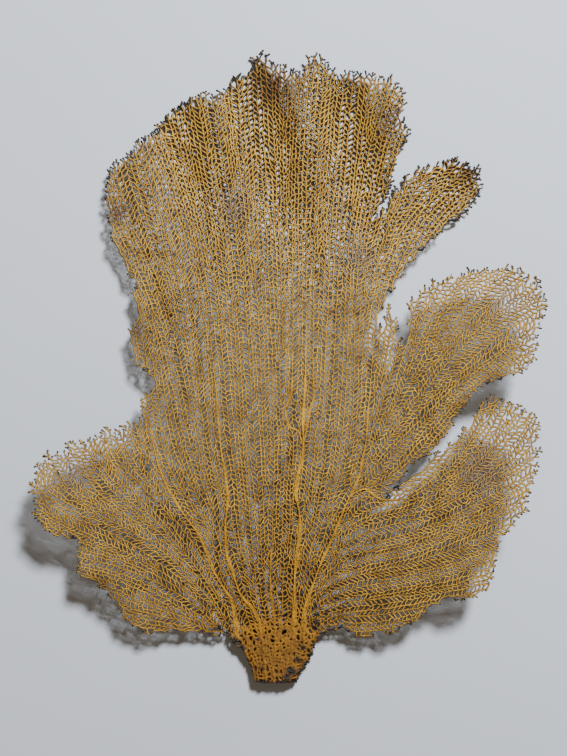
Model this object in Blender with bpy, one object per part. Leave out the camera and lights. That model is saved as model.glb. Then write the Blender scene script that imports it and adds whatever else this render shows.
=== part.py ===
"""A dried sea fan, lying on its back.

It is one colony of horny coral: a short flattened stem, cut off flat, and six blades of net that part
at its main forks. The strands of the net run out from the stem along the grain, fork where they drift
apart, and are tied by short cross strands. Here the net is drawn about three times coarser than life.

Lengths are in millimetres and become metres as each mesh is made. The plan is the fan seen from
straight above, +X to the right and +Y towards the crown. The relief is the height of the middle of
the net over the surface that the fan lies on.
"""
import math
import random

import bpy
import numpy as np

METRES = 0.001                      # metres in a millimetre

# The picture that the outline was read from by hand, in pixels, and its scale
MM_PER_PIXEL = 0.75
VIEW_AXIS = (283.5, 378.0)          # the pixel straight below the eye
VIEW_HEIGHT = 787.0                 # height of the eye over the surface
MIDDLE = (1.1, 8.1)                 # plan place of the middle of the fan's box, from the view axis

# The net
PITCH = 15.2                        # between strands, across the grain
CELL = 18.5                         # between cross strands, along the grain
STRAND_HALF_WIDTH = 2.3
LINK_HALF_WIDTH = 2.07               # of a cross strand
STRAND_HALF_THICKNESS = 1.35
RIB_HALF_THICKNESS = 2.6
RIB_FULL = 0.5                      # share wider than a strand at which a rib is fully thick
RIB_TAPER = 0.7                     # below one, a rib keeps its width for longer
TIP = 8.0                           # longest free tip past the margin
TIP_RANGE = (0.35, 1.0)             # shares of that length
TIP_LEAST = 1.0
TIP_POINT = 0.8                     # how far a tip's point stands out, in half widths
GAP = 0.3                           # between the cut faces of two blades
PALM_GAP = 0.6                      # between a blade's cut strands and the palm
SEED = 11

# The holdfast
STEM_HALF_THICKNESS = 6.6
PALM_HALF_THICKNESS = 1.7
STEM_EDGE_HALF_THICKNESS = 1.2
RIDGE_HEIGHT = 0.7                  # of the fused strands on its upper face
RIDGES = 7
HOLDFAST_COLUMNS = 14
HOLDFAST_ROWS = 12
STEM_ROUNDING = 2.4                 # two would make the stem's section an ellipse, more is boxier
STEM_TAPER = 1.5                    # how the thickness falls from the cut to the palm

# Outline of the net, clockwise in the picture, one list for each stretch
CROWN_EDGE = [
    (382, 207), (387, 190), (391, 175), (396, 160), (403, 145), (406, 136), (402, 120), (404, 104),
    (398, 93), (391, 82), (378, 80), (360, 75), (350, 77), (335, 80), (331, 70), (324, 64), (311, 60),
    (305, 70), (301, 79), (287, 73), (271, 66), (262, 56), (253, 68), (248, 79), (237, 79), (228, 88),
    (219, 102), (206, 97), (193, 103), (182, 109), (165, 122), (157, 134), (140, 147), (122, 162),
    (110, 179)]
LEFT_EDGE = [
    (106, 200), (109, 226), (114, 250), (124, 268), (137, 285), (132, 298), (138, 320), (127, 334),
    (130, 350), (136, 364), (154, 378), (152, 390), (140, 400), (145, 423), (128, 430), (118, 438)]
LEFT_LOBE_EDGE = [
    (108, 432), (97, 440), (84, 446), (72, 444), (66, 458), (53, 458), (41, 467), (35, 484), (40, 506),
    (39, 514), (50, 534), (79, 541), (79, 572), (84, 581), (98, 585), (120, 606), (124, 618),
    (147, 634), (176, 631), (207, 633), (222, 637)]
PALM_EDGE = [
    (226, 633), (240, 626), (256, 620), (272, 617), (288, 617), (303, 621), (314, 627), (322, 634)]
LOWER_RIGHT_EDGE = [
    (329, 631), (345, 629), (362, 641), (378, 632), (390, 635), (417, 621), (428, 607), (446, 600),
    (470, 600), (491, 586), (495, 560), (498, 545), (510, 528), (512, 519), (523, 511), (525, 492),
    (533, 470), (536, 445), (533, 417), (520, 412), (500, 405), (487, 400), (478, 412), (465, 431),
    (447, 449), (425, 463), (402, 480), (388, 492)]
MIDDLE_RIGHT_EDGE = [
    (390, 487), (412, 464), (427, 455), (447, 432), (459, 410), (477, 387), (495, 381), (520, 373),
    (529, 360), (533, 340), (541, 311), (537, 288), (524, 279), (503, 271), (473, 273), (447, 281),
    (421, 293), (409, 304), (408, 328), (401, 350)]
TUFT_EDGE = [(398, 336), (395, 320), (388, 309), (384, 328)]
FINGER_EDGE = [
    (378, 332), (381, 312), (392, 290), (410, 263), (430, 242), (460, 214), (474, 199), (479, 184),
    (473, 170), (458, 166), (448, 161), (427, 171), (413, 173), (396, 192), (385, 212), (376, 219)]
BEFORE_PALM = CROWN_EDGE + LEFT_EDGE + LEFT_LOBE_EDGE
AFTER_PALM = LOWER_RIGHT_EDGE + MIDDLE_RIGHT_EDGE + TUFT_EDGE + FINGER_EDGE
PALM_STEP = 2.0                     # between points of the palm's rounded edge

# Outline of the holdfast below the palm's edge: its two torn sides, from the palm down to the cut
HOLDFAST_LEFT = [(226, 633), (236, 645), (247, 655), (252, 667), (255, 681)]
HOLDFAST_RIGHT = [(322, 634), (315, 646), (309, 660), (302, 670), (296, 681)]

# Thick ribs, from the palm out: route and half width at the palm
RIBS = [
    ([(237, 630), (232, 602), (226, 592), (214, 571), (200, 537), (183, 513), (166, 484),
      (157, 460)], 4.0),
    ([(258, 620), (252, 608), (240, 594), (233, 572), (227, 554), (225, 527), (228, 500), (226, 478),
      (221, 448), (217, 402)], 4.0),
    ([(274, 617), (271, 596), (270, 575)], 3.2),
    ([(294, 617), (294, 587), (296, 565), (299, 539), (299, 512), (296, 494), (298, 476),
      (302, 458), (302, 430)], 4.6),
    ([(304, 614), (310, 592), (320, 565), (333, 537), (343, 511), (351, 494), (360, 474), (362, 460),
      (366, 440)], 4.2),
    ([(351, 494), (365, 489), (376, 497), (386, 500), (405, 499)], 3.2)]

# Routes that show which way the grain runs between the ribs
GRAIN = [
    [(228, 636), (214, 628), (190, 622), (165, 622), (140, 620)],
    [(232, 632), (210, 606), (185, 592), (150, 577), (115, 566), (85, 560)],
    [(236, 628), (218, 596), (195, 570), (160, 545), (115, 522), (70, 508), (40, 492)],
    [(238, 626), (222, 588), (198, 552), (165, 510), (130, 482), (98, 462), (72, 448)],
    [(240, 624), (226, 588), (205, 545), (180, 505), (152, 470), (128, 440)],
    [(157, 460), (151, 430), (148, 400), (145, 370), (138, 340)],
    [(246, 622), (236, 580), (222, 530), (205, 480), (190, 430), (178, 380), (165, 330), (150, 285),
     (125, 235)],
    [(217, 402), (212, 350), (205, 300), (192, 240), (172, 180), (155, 140)],
    [(266, 616), (262, 560), (258, 500), (252, 440), (248, 380), (244, 320), (236, 260), (224, 190),
     (208, 105)],
    [(270, 575), (273, 520), (277, 470), (277, 420), (275, 370), (272, 300), (268, 230), (262, 150),
     (258, 70)],
    [(302, 430), (302, 390), (303, 340), (303, 280), (302, 200), (305, 130), (310, 65)],
    [(298, 618), (309, 565), (320, 520), (328, 470), (333, 420), (337, 360), (340, 300), (342, 240),
     (346, 180), (350, 120), (354, 78)],
    [(362, 460), (360, 400), (357, 350), (356, 300), (358, 250), (366, 200), (378, 150), (395, 100)],
    [(366, 440), (369, 400), (368, 350), (374, 300), (390, 255), (412, 218), (440, 193), (474, 178)],
    [(378, 400), (388, 360), (391, 315)],
    [(370, 440), (385, 400), (400, 360), (418, 320), (445, 292), (475, 278), (505, 276)],
    [(372, 445), (400, 412), (430, 375), (465, 340), (500, 315), (538, 300)],
    [(370, 462), (395, 442), (425, 418), (460, 388), (495, 367), (530, 348)],
    [(405, 499), (425, 485), (450, 462), (475, 435), (492, 405)],
    [(395, 505), (430, 495), (465, 470), (500, 440), (530, 420)],
    [(345, 530), (385, 520), (430, 512), (480, 488), (530, 465)],
    [(325, 565), (365, 553), (410, 545), (460, 525), (510, 505)],
    [(314, 595), (350, 582), (400, 577), (450, 566), (497, 550)],
    [(310, 614), (345, 605), (385, 605), (430, 598), (480, 590)],
    [(316, 628), (340, 620), (370, 628), (400, 622)]]

# Where the blades part, from the palm out. Each line's right-hand side is tried in this order.
PARTINGS = [
    ("lower_right_lobe", [(304, 620), (318, 580), (332, 552), (345, 520), (352, 500), (364, 482),
                          (378, 492), (388, 490), (425, 459), (450, 440)]),
    ("middle_right_lobe", [(352, 520), (363, 478), (371, 440), (374, 400), (377, 360), (380, 330),
                           (386, 300), (420, 272), (480, 236)]),
    ("finger_blade", [(299, 619), (309, 570), (322, 520), (331, 470), (336, 420), (341, 360),
                      (347, 300), (354, 240), (366, 222), (385, 208), (400, 195)]),
    ("centre_blade", [(262, 619), (258, 580), (250, 520), (246, 450), (244, 380), (240, 300),
                      (236, 200), (243, 120), (246, 60)]),
    ("left_blade", [(240, 628), (222, 592), (196, 550), (170, 505), (148, 465), (140, 430),
                    (120, 400)])]
LAST_BLADE = "left_lobe"

# Heights of the middle of the net over the surface, in millimetres, at places in the picture
HEIGHTS = [
    (275, 680, 5.4), (250, 655, 5.4), (300, 655, 5.4), (272, 650, 5.2), (272, 622, 6.5),
    (270, 590, 9), (270, 540, 13),
    (265, 470, 17), (265, 400, 18), (262, 330, 15), (255, 260, 10), (240, 190, 5), (250, 120, 2),
    (262, 65, 5), (108, 195, 13), (112, 240, 16), (130, 290, 15), (130, 345, 16), (150, 395, 16),
    (172, 140, 4), (205, 105, 1), (170, 240, 11), (195, 400, 17), (178, 500, 18), (100, 500, 26),
    (42, 490, 33), (60, 530, 31), (100, 590, 25), (155, 625, 18), (215, 632, 11), (335, 625, 12),
    (400, 620, 23), (480, 590, 32), (505, 525, 35), (534, 430, 36), (430, 500, 27), (370, 520, 19),
    (400, 420, 23), (460, 400, 28), (530, 345, 34), (538, 290, 33), (450, 290, 26), (410, 330, 23),
    (375, 370, 18), (390, 312, 19), (402, 250, 10), (440, 205, 3), (476, 180, 1), (388, 150, 4),
    (402, 105, 8), (380, 84, 3), (340, 130, 1), (322, 70, 9), (330, 200, 4), (340, 270, 9),
    (330, 350, 15), (330, 430, 18), (320, 520, 15)]
RELIEF_EASE = 0.15                  # how far the smooth relief may leave those heights, as a weight
RUFFLE = 3.0                        # height of the crown's waves
RUFFLE_LENGTH = 64.0
RUFFLE_SLANT = 31.0                 # how fast the waves shift along Y
RUFFLE_FADE = (40.0, 190.0)         # plan Y where the waves begin, and where they are full

# Colours, red, green and blue, from the dried crust
OCHRE = (0.42, 0.235, 0.065)
DARK_OCHRE = (0.33, 0.17, 0.04)
ROUGHNESS = 0.8

# How the lines are spaced and grown, as shares of the pitch
POINTS_PER_PITCH = 6
GRAIN_STEP = 6.0                    # between the places where the grain routes are read
CLOSEST = 0.58                      # a strand stops this near to another
FREE = 0.93                         # a new strand starts no nearer than this
BESIDE = (0.97, 1.08)               # how far beside a strand the next one is tried
FREE_LEFT_OVER = 0.8                # the same for strands in the places left over
PALM_REACH = 0.6                    # a strand that starts this near to the palm is carried to it
TIP_SHRINK = 0.6                    # a tip that comes too near to a strand is made shorter by this
LINK_CLEAR = 0.3                    # a cross strand looks for its far end past this
LINK_LEAST = 0.35                   # length of the shortest cross strand
TIP_CLEAR = 0.55                    # a free tip ends no nearer than this to another strand
ROOT_FREE = 3                       # points of a strand next to the palm that nothing joins
FORK = 5                            # points from where a strand stops to where it is joined on
SHORTEST = 8                        # points in the shortest strand
GRAIN_SOFTNESS = 60.0
GRAIN_POWER = 1.6
LINK_TURN = (44, 64)                # degrees between a strand and the cross strands that it bears
LINK_REACH = 2.2
LINK_SPREADS = (0.78, 0.64)         # least distance between cross strands, as a share of the cell
SHORT_EDGE = 0.3                    # edges shorter than this share of the pitch are closed up
WIDE_TURN = 2.6                     # radians past which a corner is taken as straight
CORNER_REACH = 2.0                  # longest corner, in half widths
CUT_WIDTH = 0.9                     # of a strand where two blades part, as a share
CLEAR_SHARE = 0.42                  # share of the way over a cell that one strand's side may take
CELL_SHARE = 0.62                   # share of a cell's inner radius that its strands may fill
RELAX_ROUNDS = 4
RELAX_SHARE = 0.3


def plan(points):
    """Plan places of points read from the picture."""
    return [((x - VIEW_AXIS[0]) * MM_PER_PIXEL, (VIEW_AXIS[1] - y) * MM_PER_PIXEL)
            for x, y in points]


def spaced(points, step):
    """The line through the points, with a point about every step."""
    line = [points[0]]
    for a, b in zip(points, points[1:]):
        count = max(1, round(math.dist(a, b) / step))
        line += [(a[0] + (b[0] - a[0]) * k / count, a[1] + (b[1] - a[1]) * k / count)
                 for k in range(1, count + 1)]
    return line


def curve(points, step):
    """A smooth curve through the points, with a point about every step."""
    line = []
    for i, (a, b) in enumerate(zip(points, points[1:])):
        before = points[i - 1] if i else (2 * a[0] - b[0], 2 * a[1] - b[1])
        after = points[i + 2] if i + 2 < len(points) else (2 * b[0] - a[0], 2 * b[1] - a[1])
        count = max(1, round(math.dist(a, b) / step))
        for k in range(count):
            t = k / count
            line.append(tuple(
                0.5 * (2 * a[n] + (b[n] - before[n]) * t
                       + (2 * before[n] - 5 * a[n] + 4 * b[n] - after[n]) * t * t
                       + (3 * a[n] - before[n] - 3 * b[n] + after[n]) * t ** 3) for n in (0, 1)))
    line.append(points[-1])
    return line


def palm_curve():
    """The palm's edge on the plan."""
    return curve(plan(PALM_EDGE), PALM_STEP)


def nearest_piece(p, line):
    """The piece of a line that is nearest to p: its two ends, and its distance."""
    best = None
    for a, b in zip(line, line[1:]):
        dx, dy = b[0] - a[0], b[1] - a[1]
        t = ((p[0] - a[0]) * dx + (p[1] - a[1]) * dy) / (dx * dx + dy * dy)
        t = min(max(t, 0.0), 1.0)
        gap = math.dist(p, (a[0] + dx * t, a[1] + dy * t))
        if best is None or gap < best[2]:
            best = (a, b, gap)
    return best


def crossing(a, b, c, d):
    """Shares along a-b and along c-d at which the two straight lines cross, or None."""
    sx, sy, tx, ty = b[0] - a[0], b[1] - a[1], d[0] - c[0], d[1] - c[1]
    det = sx * ty - sy * tx
    if abs(det) < 1e-9:
        return None
    ux, uy = c[0] - a[0], c[1] - a[1]
    return (ux * ty - uy * tx) / det, (ux * sy - uy * sx) / det


class Relief:
    """A smooth height over the plan, through a few given heights."""

    def __init__(self, heights):
        self.spots = np.array(plan([(x, y) for x, y, _ in heights]))
        count = len(heights)
        gaps = np.linalg.norm(self.spots[:, None] - self.spots[None], axis=2)
        flat = np.hstack([np.ones((count, 1)), self.spots])
        left = np.zeros((count + 3, count + 3))
        left[:count, :count] = self.bend(gaps) + np.eye(count) * RELIEF_EASE
        left[:count, count:] = flat
        left[count:, :count] = flat.T
        right = np.zeros(count + 3)
        right[:count] = [z for _, _, z in heights]
        self.weights = np.linalg.solve(left, right)

    @staticmethod
    def bend(gap):
        scaled = gap / 100.0
        return scaled * scaled * np.log(scaled + 1e-9)

    def smooth(self, p):
        gaps = np.hypot(self.spots[:, 0] - p[0], self.spots[:, 1] - p[1])
        count = len(self.spots)
        weights = self.weights
        return float(self.bend(gaps) @ weights[:count] + weights[count]
                     + weights[count + 1] * p[0] + weights[count + 2] * p[1])

    def height(self, p):
        low, high = RUFFLE_FADE
        share = min(max((p[1] - low) / (high - low), 0.0), 1.0)
        wave = math.sin(2 * math.pi * p[0] / RUFFLE_LENGTH + p[1] / RUFFLE_SLANT)
        return max(self.smooth(p) + RUFFLE * share * wave, STRAND_HALF_THICKNESS)

    def place(self, p, out=0.0, least=0.0):
        """The place in space of a plan point, moved out along the relief's normal."""
        step = 0.5
        z = self.height(p)
        slope_x = (self.height((p[0] + step, p[1])) - self.height((p[0] - step, p[1]))) / (2 * step)
        slope_y = (self.height((p[0], p[1] + step)) - self.height((p[0], p[1] - step))) / (2 * step)
        length = math.sqrt(slope_x ** 2 + slope_y ** 2 + 1)
        nearer = 1 - z / VIEW_HEIGHT
        return ((p[0] * nearer - slope_x / length * out - MIDDLE[0]) * METRES,
                (p[1] * nearer - slope_y / length * out - MIDDLE[1]) * METRES,
                max(z + out / length, least) * METRES)


class Weave:
    """The strands on the plan, each a list of points, and the joints where they meet."""

    def __init__(self):
        self.step = PITCH / POINTS_PER_PITCH
        self.random = random.Random(SEED)
        self.edge = np.array(plan(BEFORE_PALM) + palm_curve() + plan(AFTER_PALM))
        self.edge_next = np.roll(self.edge, -1, axis=0)
        self.palm = palm_curve()
        self.lines, self.joints, self.depths, self.halves = [], [], [], []
        self.nodes, self.roots, self.tips = [], set(), set()
        self.squares, self.middles = {}, {}
        self.read_grain()

    def read_grain(self):
        """Places along the ribs and the grain routes, with the way they run there."""
        spots, ways = [], []
        for route in GRAIN + [rib for rib, _ in RIBS]:
            line = curve(plan(route), GRAIN_STEP)
            for a, b in zip(line, line[1:]):
                length = math.dist(a, b)
                spots.append(((a[0] + b[0]) / 2, (a[1] + b[1]) / 2))
                ways.append(((b[0] - a[0]) / length, (b[1] - a[1]) / length))
        self.spots, self.ways = np.array(spots), np.array(ways)

    def way(self, p):
        """The direction of the grain at p, outwards."""
        gaps = self.spots - p
        weights = 1.0 / (np.einsum("ij,ij->i", gaps, gaps) + GRAIN_SOFTNESS) ** GRAIN_POWER
        x, y = weights @ self.ways
        length = math.hypot(x, y)
        return x / length, y / length

    def inside(self, p):
        x0, y0 = self.edge[:, 0], self.edge[:, 1]
        x1, y1 = self.edge_next[:, 0], self.edge_next[:, 1]
        rows = (y0 > p[1]) != (y1 > p[1])
        x0, y0, x1, y1 = x0[rows], y0[rows], x1[rows], y1[rows]
        return bool(np.count_nonzero(p[0] < x0 + (x1 - x0) * (p[1] - y0) / (y1 - y0)) % 2)

    def square(self, p):
        return int(p[0] // PITCH), int(p[1] // PITCH)

    def near(self, p, reach):
        """The point of a strand that is nearest to p within reach, as its line and number."""
        i, j = self.square(p)
        best, found = reach, None
        for square in [(a, b) for a in (i - 1, i, i + 1) for b in (j - 1, j, j + 1)]:
            for line, k in self.squares.get(square, ()):
                gap = math.dist(p, self.lines[line][k])
                if gap < best:
                    best, found = gap, (line, k)
        return found

    def add(self, points, half, depth):
        """Keeps a line of points, with a half width for each of them."""
        index = len(self.lines)
        self.lines.append(points)
        self.joints.append({})
        self.halves.append(half)
        self.depths.append(depth)
        for k, p in enumerate(points):
            self.squares.setdefault(self.square(p), []).append((index, k))
        return index

    def joint(self, line, k, snap=2):
        """The joint at point k of a line, or one that is there already within a few points."""
        lowest = ROOT_FREE if self.joints[line].get(0) in self.roots else 0
        k = min(max(k, lowest), len(self.lines[line]) - 1)
        for reach in range(snap + 1):
            for place in (k - reach, k + reach):
                if place >= lowest and place in self.joints[line]:
                    return self.joints[line][place]
        self.nodes.append(self.lines[line][k])
        self.joints[line][k] = len(self.nodes) - 1
        return self.joints[line][k]

    def grow(self, p, sense):
        """Points from p along the grain until the margin or another strand, and what was met."""
        points = []
        while True:
            x, y = self.way(p)
            half = sense * self.step / 2
            x, y = self.way((p[0] + x * half, p[1] + y * half))
            p = (p[0] + x * sense * self.step, p[1] + y * sense * self.step)
            if not self.inside(p):
                return points, None
            met = self.near(p, PITCH * CLOSEST)
            if met:
                return points, met
            points.append(p)

    def settle(self, points, rib_half, rib_count, depth, met_back, met_ahead):
        """Keeps a grown strand, joined on where it met another and with a free tip at the margin."""
        first = last = None
        if met_back:
            first = self.joint(met_back[0], met_back[1] - FORK)
            points = spaced([self.nodes[first], points[0]], self.step)[:-1] + points
        if met_ahead:
            last = self.joint(met_ahead[0], met_ahead[1] + FORK)
            points = points + spaced([points[-1], self.nodes[last]], self.step)[1:]
        else:
            points = points + spaced([points[-1], self.free_tip(points[-1])], self.step)[1:]
        more = rib_half - STRAND_HALF_WIDTH
        halves = [STRAND_HALF_WIDTH + more * max(0.0, 1 - k / rib_count) ** RIB_TAPER
                  for k in range(len(points))]
        at_palm = not met_back and nearest_piece(points[0], self.palm)[2] < PITCH * PALM_REACH
        if at_palm:
            points[0] = self.carry_to_palm(points[0])
        index = self.add(points, halves, depth)
        if met_back:
            self.joints[index][0] = first
        elif at_palm:
            self.roots.add(self.joint(index, 0, 0))
        else:
            self.tips.add(self.joint(index, 0, 0))
        if met_ahead:
            self.joints[index][len(points) - 1] = last
        else:
            self.tips.add(self.joint(index, len(points) - 1, 0))
        return index

    def free_tip(self, p):
        """The end of the free tip that grows on from p, kept clear of the next lobe."""
        x, y = self.way(p)
        length = TIP * self.random.uniform(*TIP_RANGE)
        end = (p[0] + x * length, p[1] + y * length)
        while length > TIP_LEAST and self.near(end, PITCH * TIP_CLEAR):
            length *= TIP_SHRINK
            end = (p[0] + x * length, p[1] + y * length)
        return end

    def carry_to_palm(self, p):
        """The place where a strand that starts at p meets the palm, less the gap."""
        x, y = self.way(p)
        reach = PITCH
        back = (p[0] - x * reach, p[1] - y * reach)
        for a, b in zip(self.palm, self.palm[1:]):
            shares = crossing(p, back, a, b)
            if shares and 0 <= shares[0] <= 1 and 0 <= shares[1] <= 1:
                length = math.dist(a, b)
                sine = abs(x * (b[1] - a[1]) - y * (b[0] - a[0])) / length
                carry = shares[0] * reach - PALM_GAP / max(sine, 0.5)
                return p[0] - x * carry, p[1] - y * carry
        return p

    def strand(self, seed, depth):
        """A strand through a seed, both ways along the grain, or None where there is no room."""
        back, met_back = self.grow(seed, -1)
        ahead, met_ahead = self.grow(seed, 1)
        points = back[::-1] + [seed] + ahead
        if len(points) < SHORTEST:
            return None
        return self.settle(points, STRAND_HALF_WIDTH, 1, depth, met_back, met_ahead)

    def rib(self, route, half):
        """A traced rib, grown on to the margin as a strand."""
        points = [p for p in curve(plan(route), self.step) if self.inside(p)]
        met_back = self.near(points[0], PITCH * CLOSEST)
        while self.near(points[0], PITCH / 2):
            points.pop(0)
        ahead, met_ahead = self.grow(points[-1], 1)
        return self.settle(points + ahead, half, len(points), 0, met_back, met_ahead)

    def fill(self):
        """The ribs, then strands beside strands until the whole outline is filled."""
        queue = [self.rib(route, half) for route, half in RIBS]
        for line in queue:
            points = self.lines[line]
            for k in range(1, len(points) - 1, 2):
                x, y = points[k + 1][0] - points[k - 1][0], points[k + 1][1] - points[k - 1][1]
                length = max(math.hypot(x, y), 1e-6)
                gap = PITCH * self.random.uniform(*BESIDE)
                for side in (1, -1):
                    seed = (points[k][0] - y / length * gap * side,
                            points[k][1] + x / length * gap * side)
                    if self.inside(seed) and not self.near(seed, PITCH * FREE):
                        new = self.strand(seed, self.depths[line] + 1)
                        if new is not None:
                            queue.append(new)
        self.fill_left_over()

    def fill_left_over(self):
        """Strands in the places that no neighbour's seeds reached."""
        low, high = self.edge.min(axis=0), self.edge.max(axis=0)
        pace = PITCH / 2
        count_x, count_y = ((high - low) / pace).astype(int)
        seeds = [(low[0] + (i + 0.5) * pace, low[1] + (j + 0.5) * pace)
                 for i in range(count_x) for j in range(count_y)]
        self.random.shuffle(seeds)
        for seed in seeds:
            if self.inside(seed) and not self.near(seed, PITCH * FREE_LEFT_OVER):
                self.strand(seed, self.random.randint(0, 1))

    def first_crossing(self, start, end, skip):
        """The first strand that start-end crosses after skip, as its line and point number."""
        reach = math.dist(start, end)
        best, found = 1.0, None
        low = self.square((min(start[0], end[0]), min(start[1], end[1])))
        high = self.square((max(start[0], end[0]), max(start[1], end[1])))
        for square in [(i, j) for i in range(low[0] - 1, high[0] + 2)
                       for j in range(low[1] - 1, high[1] + 2)]:
            for line, k in self.squares.get(square, ()):
                points = self.lines[line]
                for n in (k - 1, k):
                    if n < 0 or n + 1 >= len(points):
                        continue
                    shares = crossing(start, end, points[n], points[n + 1])
                    if shares and -0.02 <= shares[1] <= 1.02 and skip / reach < shares[0] < best:
                        best, found = shares[0], (line, n + (shares[1] > 0.5))
        return found

    def crowded(self, middle, spread):
        i, j = self.square(middle)
        for square in [(a, b) for a in (i - 1, i, i + 1) for b in (j - 1, j, j + 1)]:
            for other in self.middles.get(square, ()):
                if math.dist(other, middle) < CELL * spread:
                    return True
        return False

    def covered(self, a, b):
        """Whether the way from a to b stays inside the outline."""
        return all(self.inside((a[0] + (b[0] - a[0]) * share, a[1] + (b[1] - a[1]) * share))
                   for share in (0.0, 0.25, 0.5, 0.75, 1.0))

    def link(self, line, k, side, spread):
        """A cross strand from point k of a line, grown aslant until it touches another strand."""
        points = self.lines[line]
        a, b = points[max(k - 2, 0)], points[min(k + 2, len(points) - 1)]
        turn = side * math.radians(self.random.uniform(*LINK_TURN))
        heading = math.atan2(b[1] - a[1], b[0] - a[0]) + turn
        reach = PITCH * LINK_REACH
        start = points[k]
        end = (start[0] + math.cos(heading) * reach, start[1] + math.sin(heading) * reach)
        hit = self.first_crossing(start, end, PITCH * LINK_CLEAR)
        if hit is None:
            return
        far = self.lines[hit[0]][hit[1]]
        middle = ((start[0] + far[0]) / 2, (start[1] + far[1]) / 2)
        if self.crowded(middle, spread) or not self.covered(start, far):
            return
        first, last = self.joint(line, k), self.joint(*hit)
        if math.dist(self.nodes[first], self.nodes[last]) < PITCH * LINK_LEAST:
            return
        self.middles.setdefault(self.square(middle), []).append(middle)
        points = spaced([self.nodes[first], self.nodes[last]], self.step)
        index = self.add(points, [LINK_HALF_WIDTH] * len(points), 0)
        self.joints[index] = {0: first, len(points) - 1: last}

    def tie(self):
        """Cross strands from every second strand first, so that the ones between them zigzag."""
        order = sorted(range(len(self.lines)), key=lambda line: self.depths[line] % 2)
        stride = CELL / self.step
        for spread in LINK_SPREADS:
            for line in order:
                for side in (1, -1):
                    place = stride * self.random.uniform(0.2, 0.7) + (stride / 2 if side < 0 else 0)
                    while place < len(self.lines[line]) - 1:
                        self.link(line, int(place), side, spread)
                        place += stride * self.random.uniform(0.5, 1.1)

    def edges(self):
        """The pieces between neighbouring joints, as a half width for each pair of nodes."""
        found = {}
        for line in range(len(self.lines)):
            places = sorted(self.joints[line].items())
            for (k0, a), (k1, b) in zip(places, places[1:]):
                if a != b and (a, b) not in found and (b, a) not in found:
                    found[(a, b)] = self.halves[line][(k0 + k1) // 2]
        return found


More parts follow.
